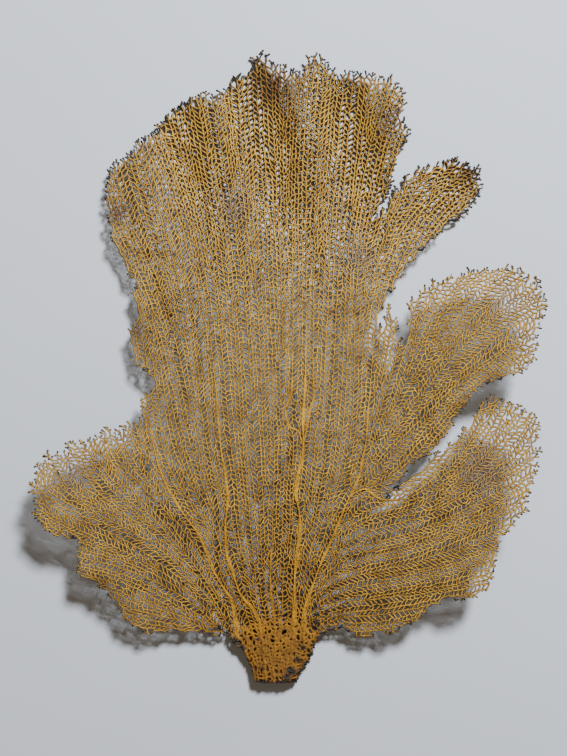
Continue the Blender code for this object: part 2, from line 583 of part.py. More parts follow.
class Net:
    """The net as a flat graph: nodes on the plan, and edges with a half width."""

    def __init__(self, weave):
        self.nodes = [tuple(p) for p in weave.nodes]
        self.widths = dict(weave.edges())
        self.roots, self.tips = weave.roots, weave.tips
        self.palm = weave.palm
        self.close_short_edges()
        self.uncross()
        self.drop_stubs()
        self.relax()
        self.uncross()
        self.drop_stubs()
        self.ends = self.neighbours()

    def neighbours(self):
        """The neighbours of each node, anticlockwise."""
        around = {}
        for a, b in self.widths:
            around.setdefault(a, []).append(b)
            around.setdefault(b, []).append(a)
        for a, others in around.items():
            x, y = self.nodes[a]
            others.sort(key=lambda b: math.atan2(self.nodes[b][1] - y, self.nodes[b][0] - x))
        return around

    def width(self, a, b):
        return self.widths[(a, b)] if (a, b) in self.widths else self.widths[(b, a)]

    def close_short_edges(self):
        for a, b in sorted(self.widths, key=lambda e: math.dist(self.nodes[e[0]], self.nodes[e[1]])):
            if math.dist(self.nodes[a], self.nodes[b]) > PITCH * SHORT_EDGE:
                break
            if (a, b) not in self.widths or a in self.tips or b in self.tips:
                continue
            keep, drop = (b, a) if b in self.roots else (a, b)
            moved = {}
            for (c, d), half in self.widths.items():
                pair = (keep if c == drop else c, keep if d == drop else d)
                if pair[0] != pair[1] and pair not in moved and pair[::-1] not in moved:
                    moved[pair] = half
            self.widths = moved

    def uncross(self):
        """Takes out the thinner and shorter of two edges that cross."""
        squares = {}
        for edge in list(self.widths):
            a, b = (self.nodes[n] for n in edge)
            for i in range(int(min(a[0], b[0]) // PITCH), int(max(a[0], b[0]) // PITCH) + 1):
                for j in range(int(min(a[1], b[1]) // PITCH), int(max(a[1], b[1]) // PITCH) + 1):
                    squares.setdefault((i, j), []).append(edge)
        for edges in squares.values():
            for n, edge in enumerate(edges):
                for other in edges[n + 1:]:
                    if set(edge) & set(other) or edge not in self.widths or other not in self.widths:
                        continue
                    shares = crossing(*(self.nodes[n] for n in edge + other))
                    if shares and 0 <= shares[0] <= 1 and 0 <= shares[1] <= 1:
                        worst = min(edge, other, key=lambda e: (
                            self.widths[e], -math.dist(self.nodes[e[0]], self.nodes[e[1]])))
                        del self.widths[worst]

    def drop_stubs(self):
        """Takes out loose ends that are neither a tip at the margin nor a root at the palm."""
        while True:
            around = self.neighbours()
            loose = [(a, b) for a, b in self.widths for n in (a, b)
                     if len(around[n]) == 1 and n not in self.tips and n not in self.roots]
            if not loose:
                return
            for edge in set(loose):
                del self.widths[edge]

    def relax(self):
        """Draws each node towards the middle of its neighbours, and thick strands less."""
        around = self.neighbours()
        for _ in range(RELAX_ROUNDS):
            moved = list(self.nodes)
            for a, others in around.items():
                if len(others) < 3 or a in self.roots:
                    continue
                thick = max(self.width(a, b) for b in others)
                share = RELAX_SHARE * (STRAND_HALF_WIDTH / thick) ** 4
                x = sum(self.nodes[b][0] for b in others) / len(others)
                y = sum(self.nodes[b][1] for b in others) / len(others)
                moved[a] = (self.nodes[a][0] + (x - self.nodes[a][0]) * share,
                            self.nodes[a][1] + (y - self.nodes[a][1]) * share)
            self.nodes = moved

    def after(self, a, b):
        """The edge that follows a-b round the cell on its left."""
        others = self.ends[b]
        return b, others[others.index(a) - 1]

    def cells(self):
        """Each cell as the ring of its directed edges."""
        waiting = {edge for a, b in self.widths for edge in ((a, b), (b, a))}
        for start in sorted(waiting):
            if start not in waiting:
                continue
            ring, edge = [], start
            while edge in waiting:
                waiting.discard(edge)
                ring.append(edge)
                edge = self.after(*edge)
            yield ring

    def fullness(self, ring):
        """How far the strands round a cell keep their width, so that the cell stays open."""
        points = [self.nodes[a] for a, _ in ring]
        area = sum(p[0] * q[1] - q[0] * p[1] for p, q in zip(points, points[1:] + points[:1])) / 2
        if area < 0:
            return 1.0
        length = sum(math.dist(p, q) for p, q in zip(points, points[1:] + points[:1]))
        widest = max(self.width(*edge) for edge in ring)
        return min(1.0, CELL_SHARE * 2 * area / length / widest)

    def corners(self):
        """Plan places of the rim at the end and at the start of each directed edge."""
        end_rims, start_rims = {}, {}
        for ring in self.cells():
            share = self.fullness(ring)
            ring_edges = np.array([(*self.nodes[a], *self.nodes[b]) for a, b in ring])
            for edge, following in zip(ring, ring[1:] + ring[:1]):
                (a, b), (_, c) = edge, following
                here = self.nodes[b]
                clear = CLEAR_SHARE * clearance(here, ring_edges)
                if a == c:
                    half = min(self.width(a, b), clear)
                    sides = (self.cut_sides(a, b, half) if b in self.roots
                             else end_sides(self.nodes[a], here, half))
                    end_rims[edge], start_rims[following] = sides
                    continue
                back = math.atan2(self.nodes[a][1] - here[1], self.nodes[a][0] - here[0])
                ahead = math.atan2(self.nodes[c][1] - here[1], self.nodes[c][0] - here[0])
                turn = (back - ahead) % (2 * math.pi)
                half_back, half_ahead = self.width(a, b) * share, self.width(b, c) * share
                if turn < WIDE_TURN:
                    sine = math.sin(turn)
                    x = (half_back * math.cos(ahead) + half_ahead * math.cos(back)) / sine
                    y = (half_back * math.sin(ahead) + half_ahead * math.sin(back)) / sine
                else:
                    reach = (half_back + half_ahead) / 2 / math.sin(turn / 2)
                    x = math.cos(ahead + turn / 2) * reach
                    y = math.sin(ahead + turn / 2) * reach
                limit = min(CORNER_REACH * max(half_back, half_ahead), clear)
                shrink = min(1.0, limit / math.hypot(x, y))
                rim = (here[0] + x * shrink, here[1] + y * shrink)
                end_rims[edge] = start_rims[following] = rim
        return end_rims, start_rims

    def clearance_of_cut(self, cut, a, b):
        """Half width that a cut strand may have at the cut, so that it clears its neighbours."""
        edges = np.array([(*self.nodes[c], *self.nodes[d]) for c, d in self.widths
                          if {c, d} != {a, b}])
        return CLEAR_SHARE * clearance(cut, edges)

    def cut_sides(self, a, b, half):
        """Sides of an end cut off along the palm's edge."""
        p, q = self.nodes[a], self.nodes[b]
        start, end, _ = nearest_piece(q, self.palm)
        along = math.atan2(end[1] - start[1], end[0] - start[0])
        heading = math.atan2(q[1] - p[1], q[0] - p[0])
        sine = math.sin(along - heading)
        reach = half / max(abs(sine), 0.5) * (1 if sine > 0 else -1)
        x, y = math.cos(along) * reach, math.sin(along) * reach
        return (q[0] + x, q[1] + y), (q[0] - x, q[1] - y)


def clearance(p, edges):
    """Distance from p to the nearest of the edges that p isn't an end of."""
    ends = (np.hypot(edges[:, 0] - p[0], edges[:, 1] - p[1]) < 1e-6) | (
        np.hypot(edges[:, 2] - p[0], edges[:, 3] - p[1]) < 1e-6)
    edges = edges[~ends]
    if not len(edges):
        return math.inf
    start, way = edges[:, :2], edges[:, 2:] - edges[:, :2]
    share = np.clip(((p - start) * way).sum(axis=1) / (way * way).sum(axis=1), 0, 1)
    gaps = start + way * share[:, None] - p
    return float(np.sqrt((gaps * gaps).sum(axis=1).min()))


def end_sides(p, q, half):
    """Left and right of the end q of the stretch p-q."""
    length = math.dist(p, q)
    x, y = (q[0] - p[0]) / length * half, (q[1] - p[1]) / length * half
    return (q[0] - y, q[1] + x), (q[0] + y, q[1] - x)


def blade_of(p):
    """The name of the blade that a plan place belongs to."""
    for name, line in PARTINGS:
        a, b, _ = nearest_piece(p, plan(line))
        if (b[0] - a[0]) * (p[1] - a[1]) - (b[1] - a[1]) * (p[0] - a[0]) < 0:
            return name
    return LAST_BLADE


def largest_part(nodes, ends):
    """The largest set of nodes that hang together within the given ones."""
    waiting, best = set(nodes), set()
    while waiting:
        part, edge = set(), [min(waiting)]
        while edge:
            node = edge.pop()
            if node in part:
                continue
            part.add(node)
            edge += [other for other in ends[node] if other in nodes and other not in part]
        waiting -= part
        best = max(best, part, key=len)
    return best


def half_thickness(half_width):
    """A strand's half thickness: a rib is thicker as well as wider."""
    share = max(0.0, (half_width - STRAND_HALF_WIDTH) / STRAND_HALF_WIDTH)
    return STRAND_HALF_THICKNESS + (RIB_HALF_THICKNESS - STRAND_HALF_THICKNESS) * min(1.0, share / RIB_FULL)


class BladeMesh:
    """The solid of one blade: each strand has four faces, along its top, bottom and two sides."""

    def __init__(self, net, nodes, relief, rims):
        self.net, self.nodes, self.relief = net, nodes, relief
        self.end_rims, self.start_rims = rims
        self.points, self.faces, self.known = [], [], {}
        for a in sorted(nodes):
            for b in net.ends[a]:
                if b in nodes:
                    self.side(self.spine(a), self.spine(b), self.rim(self.start_rims[(a, b)]),
                              self.rim(self.end_rims[(a, b)]))
                else:
                    self.stub(a, b)
            if len(net.ends[a]) == 1:
                self.end(net.ends[a][0], a)

    def vertex(self, key, p, out=0.0, least=0.0):
        if key not in self.known:
            self.known[key] = len(self.points)
            self.points.append(self.relief.place(p, out, least))
        return self.known[key]

    def spine(self, a):
        """The upper and lower point of a node."""
        thick = half_thickness(max(self.net.width(a, b) for b in self.net.ends[a]))
        p = self.net.nodes[a]
        return self.vertex(("top", a), p, thick), self.vertex(("low", a), p, -thick)

    def rim(self, p):
        return self.vertex(("rim", p), p, 0.0, STRAND_HALF_THICKNESS / 2)

    def side(self, first, last, first_rim, last_rim):
        """The upper and lower face on the left of a stretch."""
        self.faces.append((first[0], last[0], last_rim, first_rim))
        self.faces.append((first_rim, last_rim, last[1], first[1]))

    def cap(self, spine, left, right):
        self.faces.append((spine[0], right, spine[1], left))

    def stub(self, a, b):
        """Half of a strand that is cut off where two blades part."""
        p, q = self.net.nodes[a], self.net.nodes[b]
        length = math.dist(p, q)
        share = 0.5 - GAP / 2 / length
        cut = (p[0] + (q[0] - p[0]) * share, p[1] + (q[1] - p[1]) * share)
        half = min(self.net.width(a, b) * CUT_WIDTH, self.net.clearance_of_cut(cut, a, b))
        left, right = (self.rim(side) for side in end_sides(p, cut, half))
        thick = half_thickness(half)
        spine = (self.vertex(("top", a, b), cut, thick), self.vertex(("low", a, b), cut, -thick))
        self.side(self.spine(a), spine, self.rim(self.start_rims[(a, b)]), left)
        self.side(spine, self.spine(a), right, self.rim(self.end_rims[(b, a)]))
        self.cap(spine, left, right)

    def end(self, a, b):
        """The pointed tip of a strand, or its flat cut at the palm."""
        left, right = self.rim(self.end_rims[(a, b)]), self.rim(self.start_rims[(b, a)])
        spine = self.spine(b)
        if b in self.net.roots:
            self.cap(spine, left, right)
            return
        p, q = self.net.nodes[a], self.net.nodes[b]
        share = 1 + self.net.width(a, b) * TIP_POINT / math.dist(p, q)
        tip = self.rim((p[0] + (q[0] - p[0]) * share, p[1] + (q[1] - p[1]) * share))
        self.faces += [(spine[0], tip, left), (spine[0], right, tip),
                       (spine[1], left, tip), (spine[1], tip, right)]


def finish(name, colour):
    """A rough, matt horny crust."""
    material = bpy.data.materials.new(name)
    material.use_nodes = True
    shader = material.node_tree.nodes["Principled BSDF"]
    shader.inputs["Base Color"].default_value = (*colour, 1.0)
    shader.inputs["Roughness"].default_value = ROUGHNESS
    shader.inputs["Metallic"].default_value = 0.0
    return material


def make(name, points, faces, colour):
    """One named object from its points and faces."""
    mesh = bpy.data.meshes.new(name)
    mesh.from_pydata(points, [], faces)
    mesh.materials.append(finish(name + "_crust", colour))
    mesh.update()
    made = bpy.data.objects.new(name, mesh)
    bpy.context.scene.collection.objects.link(made)
    return made


def at_share(line, share):
    """The point at a share of the length of a line."""
    lengths = [math.dist(a, b) for a, b in zip(line, line[1:])]
    left = share * sum(lengths)
    for (a, b), length in zip(zip(line, line[1:]), lengths):
        if left <= length:
            return a[0] + (b[0] - a[0]) * left / length, a[1] + (b[1] - a[1]) * left / length
        left -= length
    return line[-1]


def holdfast(relief):
    """The flattened stem and the palm: a sheet of columns and rows with an upper and a lower face."""
    left, right = plan(HOLDFAST_LEFT[::-1]), plan(HOLDFAST_RIGHT[::-1])
    palm = palm_curve()
    left[-1], right[-1] = palm[0], palm[-1]
    points, faces = [], []
    upper, lower = {}, {}
    for row in range(HOLDFAST_ROWS + 1):
        up = row / HOLDFAST_ROWS
        a, b = at_share(left, up), at_share(right, up)
        for column in range(HOLDFAST_COLUMNS + 1):
            across = column / HOLDFAST_COLUMNS
            straight = (a[0] + (b[0] - a[0]) * across, a[1] + (b[1] - a[1]) * across)
            arch = at_share(palm, across)
            base = (palm[0][0] + (palm[-1][0] - palm[0][0]) * across,
                    palm[0][1] + (palm[-1][1] - palm[0][1]) * across)
            p = (straight[0] + (arch[0] - base[0]) * up ** 2,
                 straight[1] + (arch[1] - base[1]) * up ** 2)
            round_off = (1 - abs(2 * across - 1) ** STEM_ROUNDING) ** (1 / STEM_ROUNDING)
            thin = up ** STEM_TAPER
            middle_half = STEM_HALF_THICKNESS * (1 - thin) + PALM_HALF_THICKNESS * thin
            half = STEM_EDGE_HALF_THICKNESS + (middle_half - STEM_EDGE_HALF_THICKNESS) * round_off
            ridge = RIDGE_HEIGHT * math.cos(2 * math.pi * RIDGES * across) * round_off * (1 - up)
            upper[column, row] = len(points)
            points.append(relief.place(p, half + ridge))
            lower[column, row] = len(points)
            points.append(relief.place(p, -half))
    corners = [(c, r) for r in range(HOLDFAST_ROWS) for c in range(HOLDFAST_COLUMNS)]
    for c, r in corners:
        ring = [(c, r), (c + 1, r), (c + 1, r + 1), (c, r + 1)]
        faces.append(tuple(upper[corner] for corner in ring))
        faces.append(tuple(lower[corner] for corner in ring[::-1]))
    border = ([(c, 0) for c in range(HOLDFAST_COLUMNS)]
              + [(HOLDFAST_COLUMNS, r) for r in range(HOLDFAST_ROWS)]
              + [(c, HOLDFAST_ROWS) for c in range(HOLDFAST_COLUMNS, 0, -1)]
              + [(0, r) for r in range(HOLDFAST_ROWS, 0, -1)])
    for a, b in zip(border, border[1:] + border[:1]):
        faces.append((upper[a], lower[a], lower[b], upper[b]))
    return make("holdfast", points, faces, DARK_OCHRE)


def main():
    for old in list(bpy.data.objects):
        bpy.data.objects.remove(old, do_unlink=True)
    relief = Relief(HEIGHTS)
    holdfast(relief)
    weave = Weave()
    weave.fill()
    weave.tie()
    net = Net(weave)
    rims = net.corners()
    blades = {}
    for node in net.ends:
        blades.setdefault(blade_of(net.nodes[node]), set()).add(node)
    for name, nodes in sorted(blades.items()):
        solid = BladeMesh(net, largest_part(nodes, net.ends), relief, rims)
        make(name, solid.points, solid.faces, OCHRE)


main()
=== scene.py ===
# %% [markdown]
# # A dried sea fan, lying on its back
# A sea fan is one colony of horny coral. It grows from a short stem as a flat net, and dries to a
# light, brittle, ochre sheet with dark tips. This lesson loads the plain solids of the fan, and then
# grows a net of the real fineness over them.

# %% Load the frame
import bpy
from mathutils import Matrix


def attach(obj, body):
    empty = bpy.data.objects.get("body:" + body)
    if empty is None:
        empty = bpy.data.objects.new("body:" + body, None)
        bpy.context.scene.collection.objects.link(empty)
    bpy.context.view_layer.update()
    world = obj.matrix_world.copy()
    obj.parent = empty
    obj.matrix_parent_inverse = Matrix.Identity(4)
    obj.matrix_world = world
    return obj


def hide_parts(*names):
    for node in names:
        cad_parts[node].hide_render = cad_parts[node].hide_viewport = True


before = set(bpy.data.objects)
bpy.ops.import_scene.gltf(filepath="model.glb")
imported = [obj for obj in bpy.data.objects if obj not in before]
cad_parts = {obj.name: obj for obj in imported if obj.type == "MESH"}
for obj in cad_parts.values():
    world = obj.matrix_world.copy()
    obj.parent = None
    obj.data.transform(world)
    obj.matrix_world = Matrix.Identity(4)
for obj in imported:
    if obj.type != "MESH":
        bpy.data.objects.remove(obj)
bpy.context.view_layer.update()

# %% [markdown]
# ## One scale for everything
# The outline was read from a picture, in pixels. A pixel is 0.75 mm on the surface that the fan
# lies on, and the eye is straight above it. A part of the fan that stands higher is nearer to the
# eye, so its place on the plan is drawn in a little towards the axis of view.

# %% Lengths and the plan
import math
import random
import bpy
import numpy as np

METRES = 0.001                      # metres in a millimetre
MM_PER_PIXEL = 0.75                 # on the surface that the fan lies on
PICTURE = (567, 756)                # pixels wide and high
VIEW_AXIS = (PICTURE[0] / 2, PICTURE[1] / 2)
VIEW_HEIGHT = 787.0                 # mm from the surface to the eye
MIDDLE = (1.1, 8.1)                 # plan place of the middle of the fan's box
TINY = 1e-6                         # mm, the least length that anything is divided by


def plan(points):
    """Plan places in millimetres of points read from the picture."""
    return [((x - VIEW_AXIS[0]) * MM_PER_PIXEL, (VIEW_AXIS[1] - y) * MM_PER_PIXEL)
            for x, y in points]


def curve(points, step):
    """A smooth curve through the points, with a point about every step."""
    line = []
    for i, (a, b) in enumerate(zip(points, points[1:])):
        before = points[i - 1] if i else (2 * a[0] - b[0], 2 * a[1] - b[1])
        after = points[i + 2] if i + 2 < len(points) else (2 * b[0] - a[0], 2 * b[1] - a[1])
        count = max(1, round(math.dist(a, b) / step))
        for k in range(count):
            t = k / count
            line.append(tuple(
                0.5 * (2 * a[n] + (b[n] - before[n]) * t
                       + (2 * before[n] - 5 * a[n] + 4 * b[n] - after[n]) * t * t
                       + (3 * a[n] - before[n] - 3 * b[n] + after[n]) * t ** 3) for n in (0, 1)))
    line.append(points[-1])
    return line


def spaced(points, step):
    """The straight way through the points, with a point about every step."""
    line = [points[0]]
    for a, b in zip(points, points[1:]):
        count = max(1, round(math.dist(a, b) / step))
        line += [(a[0] + (b[0] - a[0]) * k / count, a[1] + (b[1] - a[1]) * k / count)
                 for k in range(1, count + 1)]
    return line


print("the picture's width on the surface:", PICTURE[0] * MM_PER_PIXEL, "mm")

# %% [markdown]
# ## The outline
# The fan has a ragged crown, a smoother left edge, three lobes and a finger. The lists go round it
# clockwise. They are the same as for the solids, so the fine net fills the same shape. The net also
# runs on through the palm, where the blades meet, and down the stem to the cut.

# %% The outline of the net
CROWN_EDGE = [
    (382, 207), (387, 190), (391, 175), (396, 160), (403, 145), (406, 136), (402, 120), (404, 104),
    (398, 93), (391, 82), (378, 80), (360, 75), (350, 77), (335, 80), (331, 70), (324, 64), (311, 60),
    (305, 70), (301, 79), (287, 73), (271, 66), (262, 56), (253, 68), (248, 79), (237, 79), (228, 88),
    (219, 102), (206, 97), (193, 103), (182, 109), (165, 122), (157, 134), (140, 147), (122, 162),
    (110, 179)]
LEFT_EDGE = [
    (106, 200), (109, 226), (114, 250), (124, 268), (137, 285), (132, 298), (138, 320), (127, 334),
    (130, 350), (136, 364), (154, 378), (152, 390), (140, 400), (145, 423), (128, 430), (118, 438)]
LEFT_LOBE_EDGE = [
    (108, 432), (97, 440), (84, 446), (72, 444), (66, 458), (53, 458), (41, 467), (35, 484), (40, 506),
    (39, 514), (50, 534), (79, 541), (79, 572), (84, 581), (98, 585), (120, 606), (124, 618),
    (147, 634), (176, 631), (207, 633), (222, 637)]
PALM_EDGE = [
    (226, 633), (240, 626), (256, 620), (272, 617), (288, 617), (303, 621), (314, 627), (322, 634)]
LOWER_RIGHT_EDGE = [
    (329, 631), (345, 629), (362, 641), (378, 632), (390, 635), (417, 621), (428, 607), (446, 600),
    (470, 600), (491, 586), (495, 560), (498, 545), (510, 528), (512, 519), (523, 511), (525, 492),
    (533, 470), (536, 445), (533, 417), (520, 412), (500, 405), (487, 400), (478, 412), (465, 431),
    (447, 449), (425, 463), (402, 480), (388, 492)]
MIDDLE_RIGHT_EDGE = [
    (390, 487), (412, 464), (427, 455), (447, 432), (459, 410), (477, 387), (495, 381), (520, 373),
    (529, 360), (533, 340), (541, 311), (537, 288), (524, 279), (503, 271), (473, 273), (447, 281),
    (421, 293), (409, 304), (408, 328), (401, 350)]
TUFT_EDGE = [(398, 336), (395, 320), (388, 309), (384, 328)]
FINGER_EDGE = [
    (378, 332), (381, 312), (392, 290), (410, 263), (430, 242), (460, 214), (474, 199), (479, 184),
    (473, 170), (458, 166), (448, 161), (427, 171), (413, 173), (396, 192), (385, 212), (376, 219)]

HOLDFAST_LEFT = [(226, 633), (236, 645), (247, 655), (252, 667), (255, 681)]
HOLDFAST_RIGHT = [(322, 634), (315, 646), (309, 660), (302, 670), (296, 681)]

PALM_STEP = 2.0
palm = curve(plan(PALM_EDGE), PALM_STEP)
outline = np.array(plan(
    CROWN_EDGE + LEFT_EDGE + LEFT_LOBE_EDGE + HOLDFAST_LEFT + HOLDFAST_RIGHT[::-1]
    + LOWER_RIGHT_EDGE + MIDDLE_RIGHT_EDGE + TUFT_EDGE + FINGER_EDGE))
stem_outline = np.array(plan(HOLDFAST_RIGHT + HOLDFAST_LEFT[::-1]) + palm)
fan_sides = np.hstack([outline, np.roll(outline, -1, axis=0)]).T
stem_sides = np.hstack([stem_outline, np.roll(stem_outline, -1, axis=0)]).T


def inside(p, sides=fan_sides):
    """Whether a plan place is inside the outline."""
    x0, y0, x1, y1 = sides[:, (sides[1] > p[1]) != (sides[3] > p[1])]
    return bool(np.count_nonzero(p[0] < x0 + (x1 - x0) * (p[1] - y0) / (y1 - y0)) % 2)


print("outline:", np.ptp(outline, axis=0).round(), "mm")

# %% [markdown]
# ## Ribs and grain
# A few thick ribs carry the fan, and each is listed with its half width in millimetres at its foot
# and at its end. Between them the strands follow a grain that spreads out from the
# stem. The ribs and a few more routes give that direction, and every other place takes a mean of
# them in which the nearest count most.

# %% The ribs, and which way the net grows
RIBS = [
    ([(252, 668), (243, 646), (237, 630), (232, 602), (226, 592), (214, 571), (200, 537),
      (183, 513), (166, 484), (157, 460), (151, 430)], 1.9, 1.0),
    ([(265, 670), (263, 645), (258, 620), (252, 608), (240, 594), (233, 572), (227, 554), (225, 527),
      (228, 500), (226, 478), (221, 448), (217, 402), (214, 370)], 1.8, 1.0),
    ([(274, 672), (275, 645), (274, 617), (271, 596), (270, 575), (272, 545)], 1.4, 0.95),
    ([(285, 670), (292, 645), (294, 617), (294, 587), (296, 565), (299, 539), (299, 512),
      (296, 494), (298, 476), (302, 458), (303, 442)], 2.2, 1.9),
    ([(294, 668), (303, 645), (304, 614), (310, 592), (320, 565), (333, 537), (343, 511),
      (351, 494), (360, 474), (362, 460), (366, 440), (368, 410)], 1.9, 1.0),
    ([(351, 494), (365, 489), (376, 497), (386, 500), (405, 499)], 1.4, 1.0),
    ([(303, 442), (307, 428), (310, 410), (314, 396), (313, 378), (313, 350)], 1.25, 1.0),
    ([(302, 441), (298, 431), (289, 426), (286, 410), (291, 393), (292, 376), (293, 345)], 1.25, 1.0)]
GRAIN = [
    [(257, 681), (249, 658), (229, 637)],
    [(262, 681), (258, 660), (246, 635), (238, 622)],
    [(270, 681), (270, 655), (266, 622)],
    [(280, 681), (282, 655), (285, 620)],
    [(288, 681), (296, 655), (303, 622)],
    [(295, 681), (307, 660), (319, 634), (324, 626)],
    [(228, 636), (214, 628), (190, 622), (165, 622), (140, 620)],
    [(232, 632), (210, 606), (185, 592), (150, 577), (115, 566), (85, 560)],
    [(236, 628), (218, 596), (195, 570), (160, 545), (115, 522), (70, 508), (40, 492)],
    [(238, 626), (222, 588), (198, 552), (165, 510), (130, 482), (98, 462), (72, 448)],
    [(240, 624), (226, 588), (205, 545), (180, 505), (152, 470), (128, 440)],
    [(157, 460), (151, 430), (148, 400), (145, 370), (138, 340)],
    [(246, 622), (236, 580), (222, 530), (205, 480), (190, 430), (178, 380), (165, 330), (150, 285),
     (125, 235)],
    [(217, 402), (212, 350), (205, 300), (192, 240), (172, 180), (155, 140)],
    [(266, 616), (262, 560), (258, 500), (252, 440), (248, 380), (244, 320), (236, 260), (224, 190),
     (208, 105)],
    [(270, 575), (273, 520), (277, 470), (277, 420), (275, 370), (272, 300), (268, 230), (262, 150),
     (258, 70)],
    [(302, 430), (302, 390), (303, 340), (303, 280), (302, 200), (305, 130), (310, 65)],
    [(298, 618), (309, 565), (320, 520), (328, 470), (333, 420), (337, 360), (340, 300), (342, 240),
     (346, 180), (350, 120), (354, 78)],
    [(362, 460), (360, 400), (357, 350), (356, 300), (358, 250), (366, 200), (378, 150), (395, 100)],
    [(366, 440), (369, 400), (368, 350), (374, 300), (390, 255), (412, 218), (440, 193), (474, 178)],
    [(378, 400), (388, 360), (391, 315)],
    [(370, 440), (385, 400), (400, 360), (418, 320), (445, 292), (475, 278), (505, 276)],
    [(372, 445), (400, 412), (430, 375), (465, 340), (500, 315), (538, 300)],
    [(370, 462), (395, 442), (425, 418), (460, 388), (495, 367), (530, 348)],
    [(405, 499), (425, 485), (450, 462), (475, 435), (492, 405)],
    [(395, 505), (430, 495), (465, 470), (500, 440), (530, 420)],
    [(345, 530), (385, 520), (430, 512), (480, 488), (530, 465)],
    [(325, 565), (365, 553), (410, 545), (460, 525), (510, 505)],
    [(314, 595), (350, 582), (400, 577), (450, 566), (497, 550)],
    [(310, 614), (345, 605), (385, 605), (430, 598), (480, 590)],
    [(316, 628), (340, 620), (370, 628), (400, 622)],
    [(402, 352), (407, 330), (414, 302)],
    [(418, 345), (430, 318), (438, 288)],
    [(440, 330), (456, 305), (466, 276)],
    [(465, 320), (484, 298), (500, 272)],
    [(490, 318), (512, 300), (530, 284)],
    [(445, 475), (455, 458), (462, 438)],
    [(462, 465), (474, 440), (484, 404)],
    [(490, 450), (500, 430), (506, 407)],
    [(512, 455), (522, 435), (530, 414)],
    [(50, 500), (43, 492), (36, 486)],
    [(70, 480), (64, 468), (58, 456)],
    [(92, 478), (88, 462), (84, 446)],
    [(115, 475), (112, 456), (108, 436)],
    [(425, 195), (432, 180), (438, 166)],
    [(445, 190), (455, 176), (462, 167)]]
GRAIN_STEP = 6.0                    # mm between the places at which the grain is read
GRAIN_SOFTNESS = 60.0               # square mm by which the nearest of them counts less
GRAIN_POWER = 1.6                   # how fast one counts less farther off

pieces = []
for route in GRAIN + [rib for rib, _, _ in RIBS]:
    line = curve(plan(route), GRAIN_STEP)
    pieces += zip(line, line[1:])
starts, ends = np.array([a for a, _ in pieces]), np.array([b for _, b in pieces])
grain_spots = (starts + ends) / 2
grain_ways = (ends - starts) / np.linalg.norm(ends - starts, axis=1)[:, None]


def way(p):
    """The direction of the grain at p, outwards."""
    gaps = grain_spots - p
    weights = 1.0 / (np.einsum("ij,ij->i", gaps, gaps) + GRAIN_SOFTNESS) ** GRAIN_POWER
    x, y = weights @ grain_ways
    length = math.hypot(x, y)
    return x / length, y / length


print("grain read at", len(grain_spots), "places")

# %% [markdown]
# ## Keeping the strands
# Every strand is a list of plan points. A look-up of squares tells quickly what is near a place.
# Joints are the places where strands meet: they become the knots of the net.

# %% The store of strands
PITCH = 3.7                         # mm between strands, across the grain
CELL = 3.8                          # mm between cross strands, along the grain
STEP = PITCH / 6
HALF_WIDTH = 0.88                   # mm, of a plain strand
STEM_PITCH = 0.72                   # share of the pitch that is left on the stem
CROWDING = (10.0, 60.0)             # mm from the palm over which the strands spread out
PALM_MIDDLE = plan([(273, 645)])[0]
CROWN = (30.0, 140.0)               # plan Y where the crown begins, and where it is full
CROWN_PITCH = 0.84                  # share of the pitch that is left on the crown
CROWN_CELL = 1.3                    # how much longer its cells are for their width
LOBES = (95.0, 125.0)               # mm from the middle where the lobes begin, and are full
LOBE_PITCH = 0.88                   # share of the pitch that is left on the lobes
chance = random.Random(7)
strands, joints, halves, depths = [], [], [], []
knots, knot_line, roots, tips, buds = [], [], set(), set(), set()
squares, middles = {}, {}


def zone(value, limits):
    """How far a value is past the first of two limits towards the second, from 0 to 1."""
    start, end = limits
    return min(max((value - start) / (end - start), 0.0), 1.0)


def in_lobes(p):
    """How far out on the side lobes a place is, from 0 to 1."""
    return zone(abs(p[0]), LOBES) * (1 - zone(p[1], CROWN))


def pitch(p):
    """The pitch at a place: strands crowd together towards the stem."""
    away = zone(math.dist(p, PALM_MIDDLE), CROWDING)
    return (PITCH * (STEM_PITCH + (1 - STEM_PITCH) * away * (2 - away))
            * (1 + (CROWN_PITCH - 1) * zone(p[1], CROWN)) * (1 + (LOBE_PITCH - 1) * in_lobes(p)))


def cell(p):
    """The length of a cell at a place, along the grain."""
    return CELL / PITCH * pitch(p) * (1 + (CROWN_CELL - 1) * zone(p[1], CROWN))


def square(p):
    """The square of the look-up that a place is in."""
    return int(p[0] // PITCH), int(p[1] // PITCH)


def keep(points, widths, depth):
    """Stores a strand with a half width for each of its points, and gives its number."""
    strands.append(points)
    joints.append({})
    halves.append(widths)
    depths.append(depth)
    for k, p in enumerate(points):
        squares.setdefault(square(p), []).append((len(strands) - 1, k))
    return len(strands) - 1


def near(p, reach):
    """The strand point nearest to p within reach, as its strand and number, or None."""
    i, j = square(p)
    best, found = reach, None
    for spot in ((i, j), (i - 1, j), (i + 1, j), (i, j - 1), (i, j + 1),
                 (i - 1, j - 1), (i + 1, j - 1), (i - 1, j + 1), (i + 1, j + 1)):
        for line, k in squares.get(spot, ()):
            gap = math.dist(p, strands[line][k])
            if gap < best:
                best, found = gap, (line, k)
    return found


def joint(line, k, snap=1):
    """The knot at point k of a strand, or one that is there already within a few points."""
    k = min(max(k, 0), len(strands[line]) - 1)
    for reach in range(snap + 1):
        for place in (k - reach, k + reach):
            if place in joints[line]:
                return joints[line][place]
    knots.append(strands[line][k])
    knot_line.append(line)
    joints[line][k] = len(knots) - 1
    return joints[line][k]


print("a strand point every", round(STEP, 2), "mm")

# %% [markdown]
# ## Growing strands
# A strand grows along the grain until it leaves the outline or comes close to another. There it is
# joined on, which makes the forks. Where it leaves the outline it goes on as a free tip. New strands
# start one pitch beside those that are there, so the net fills itself evenly, as the colony did.

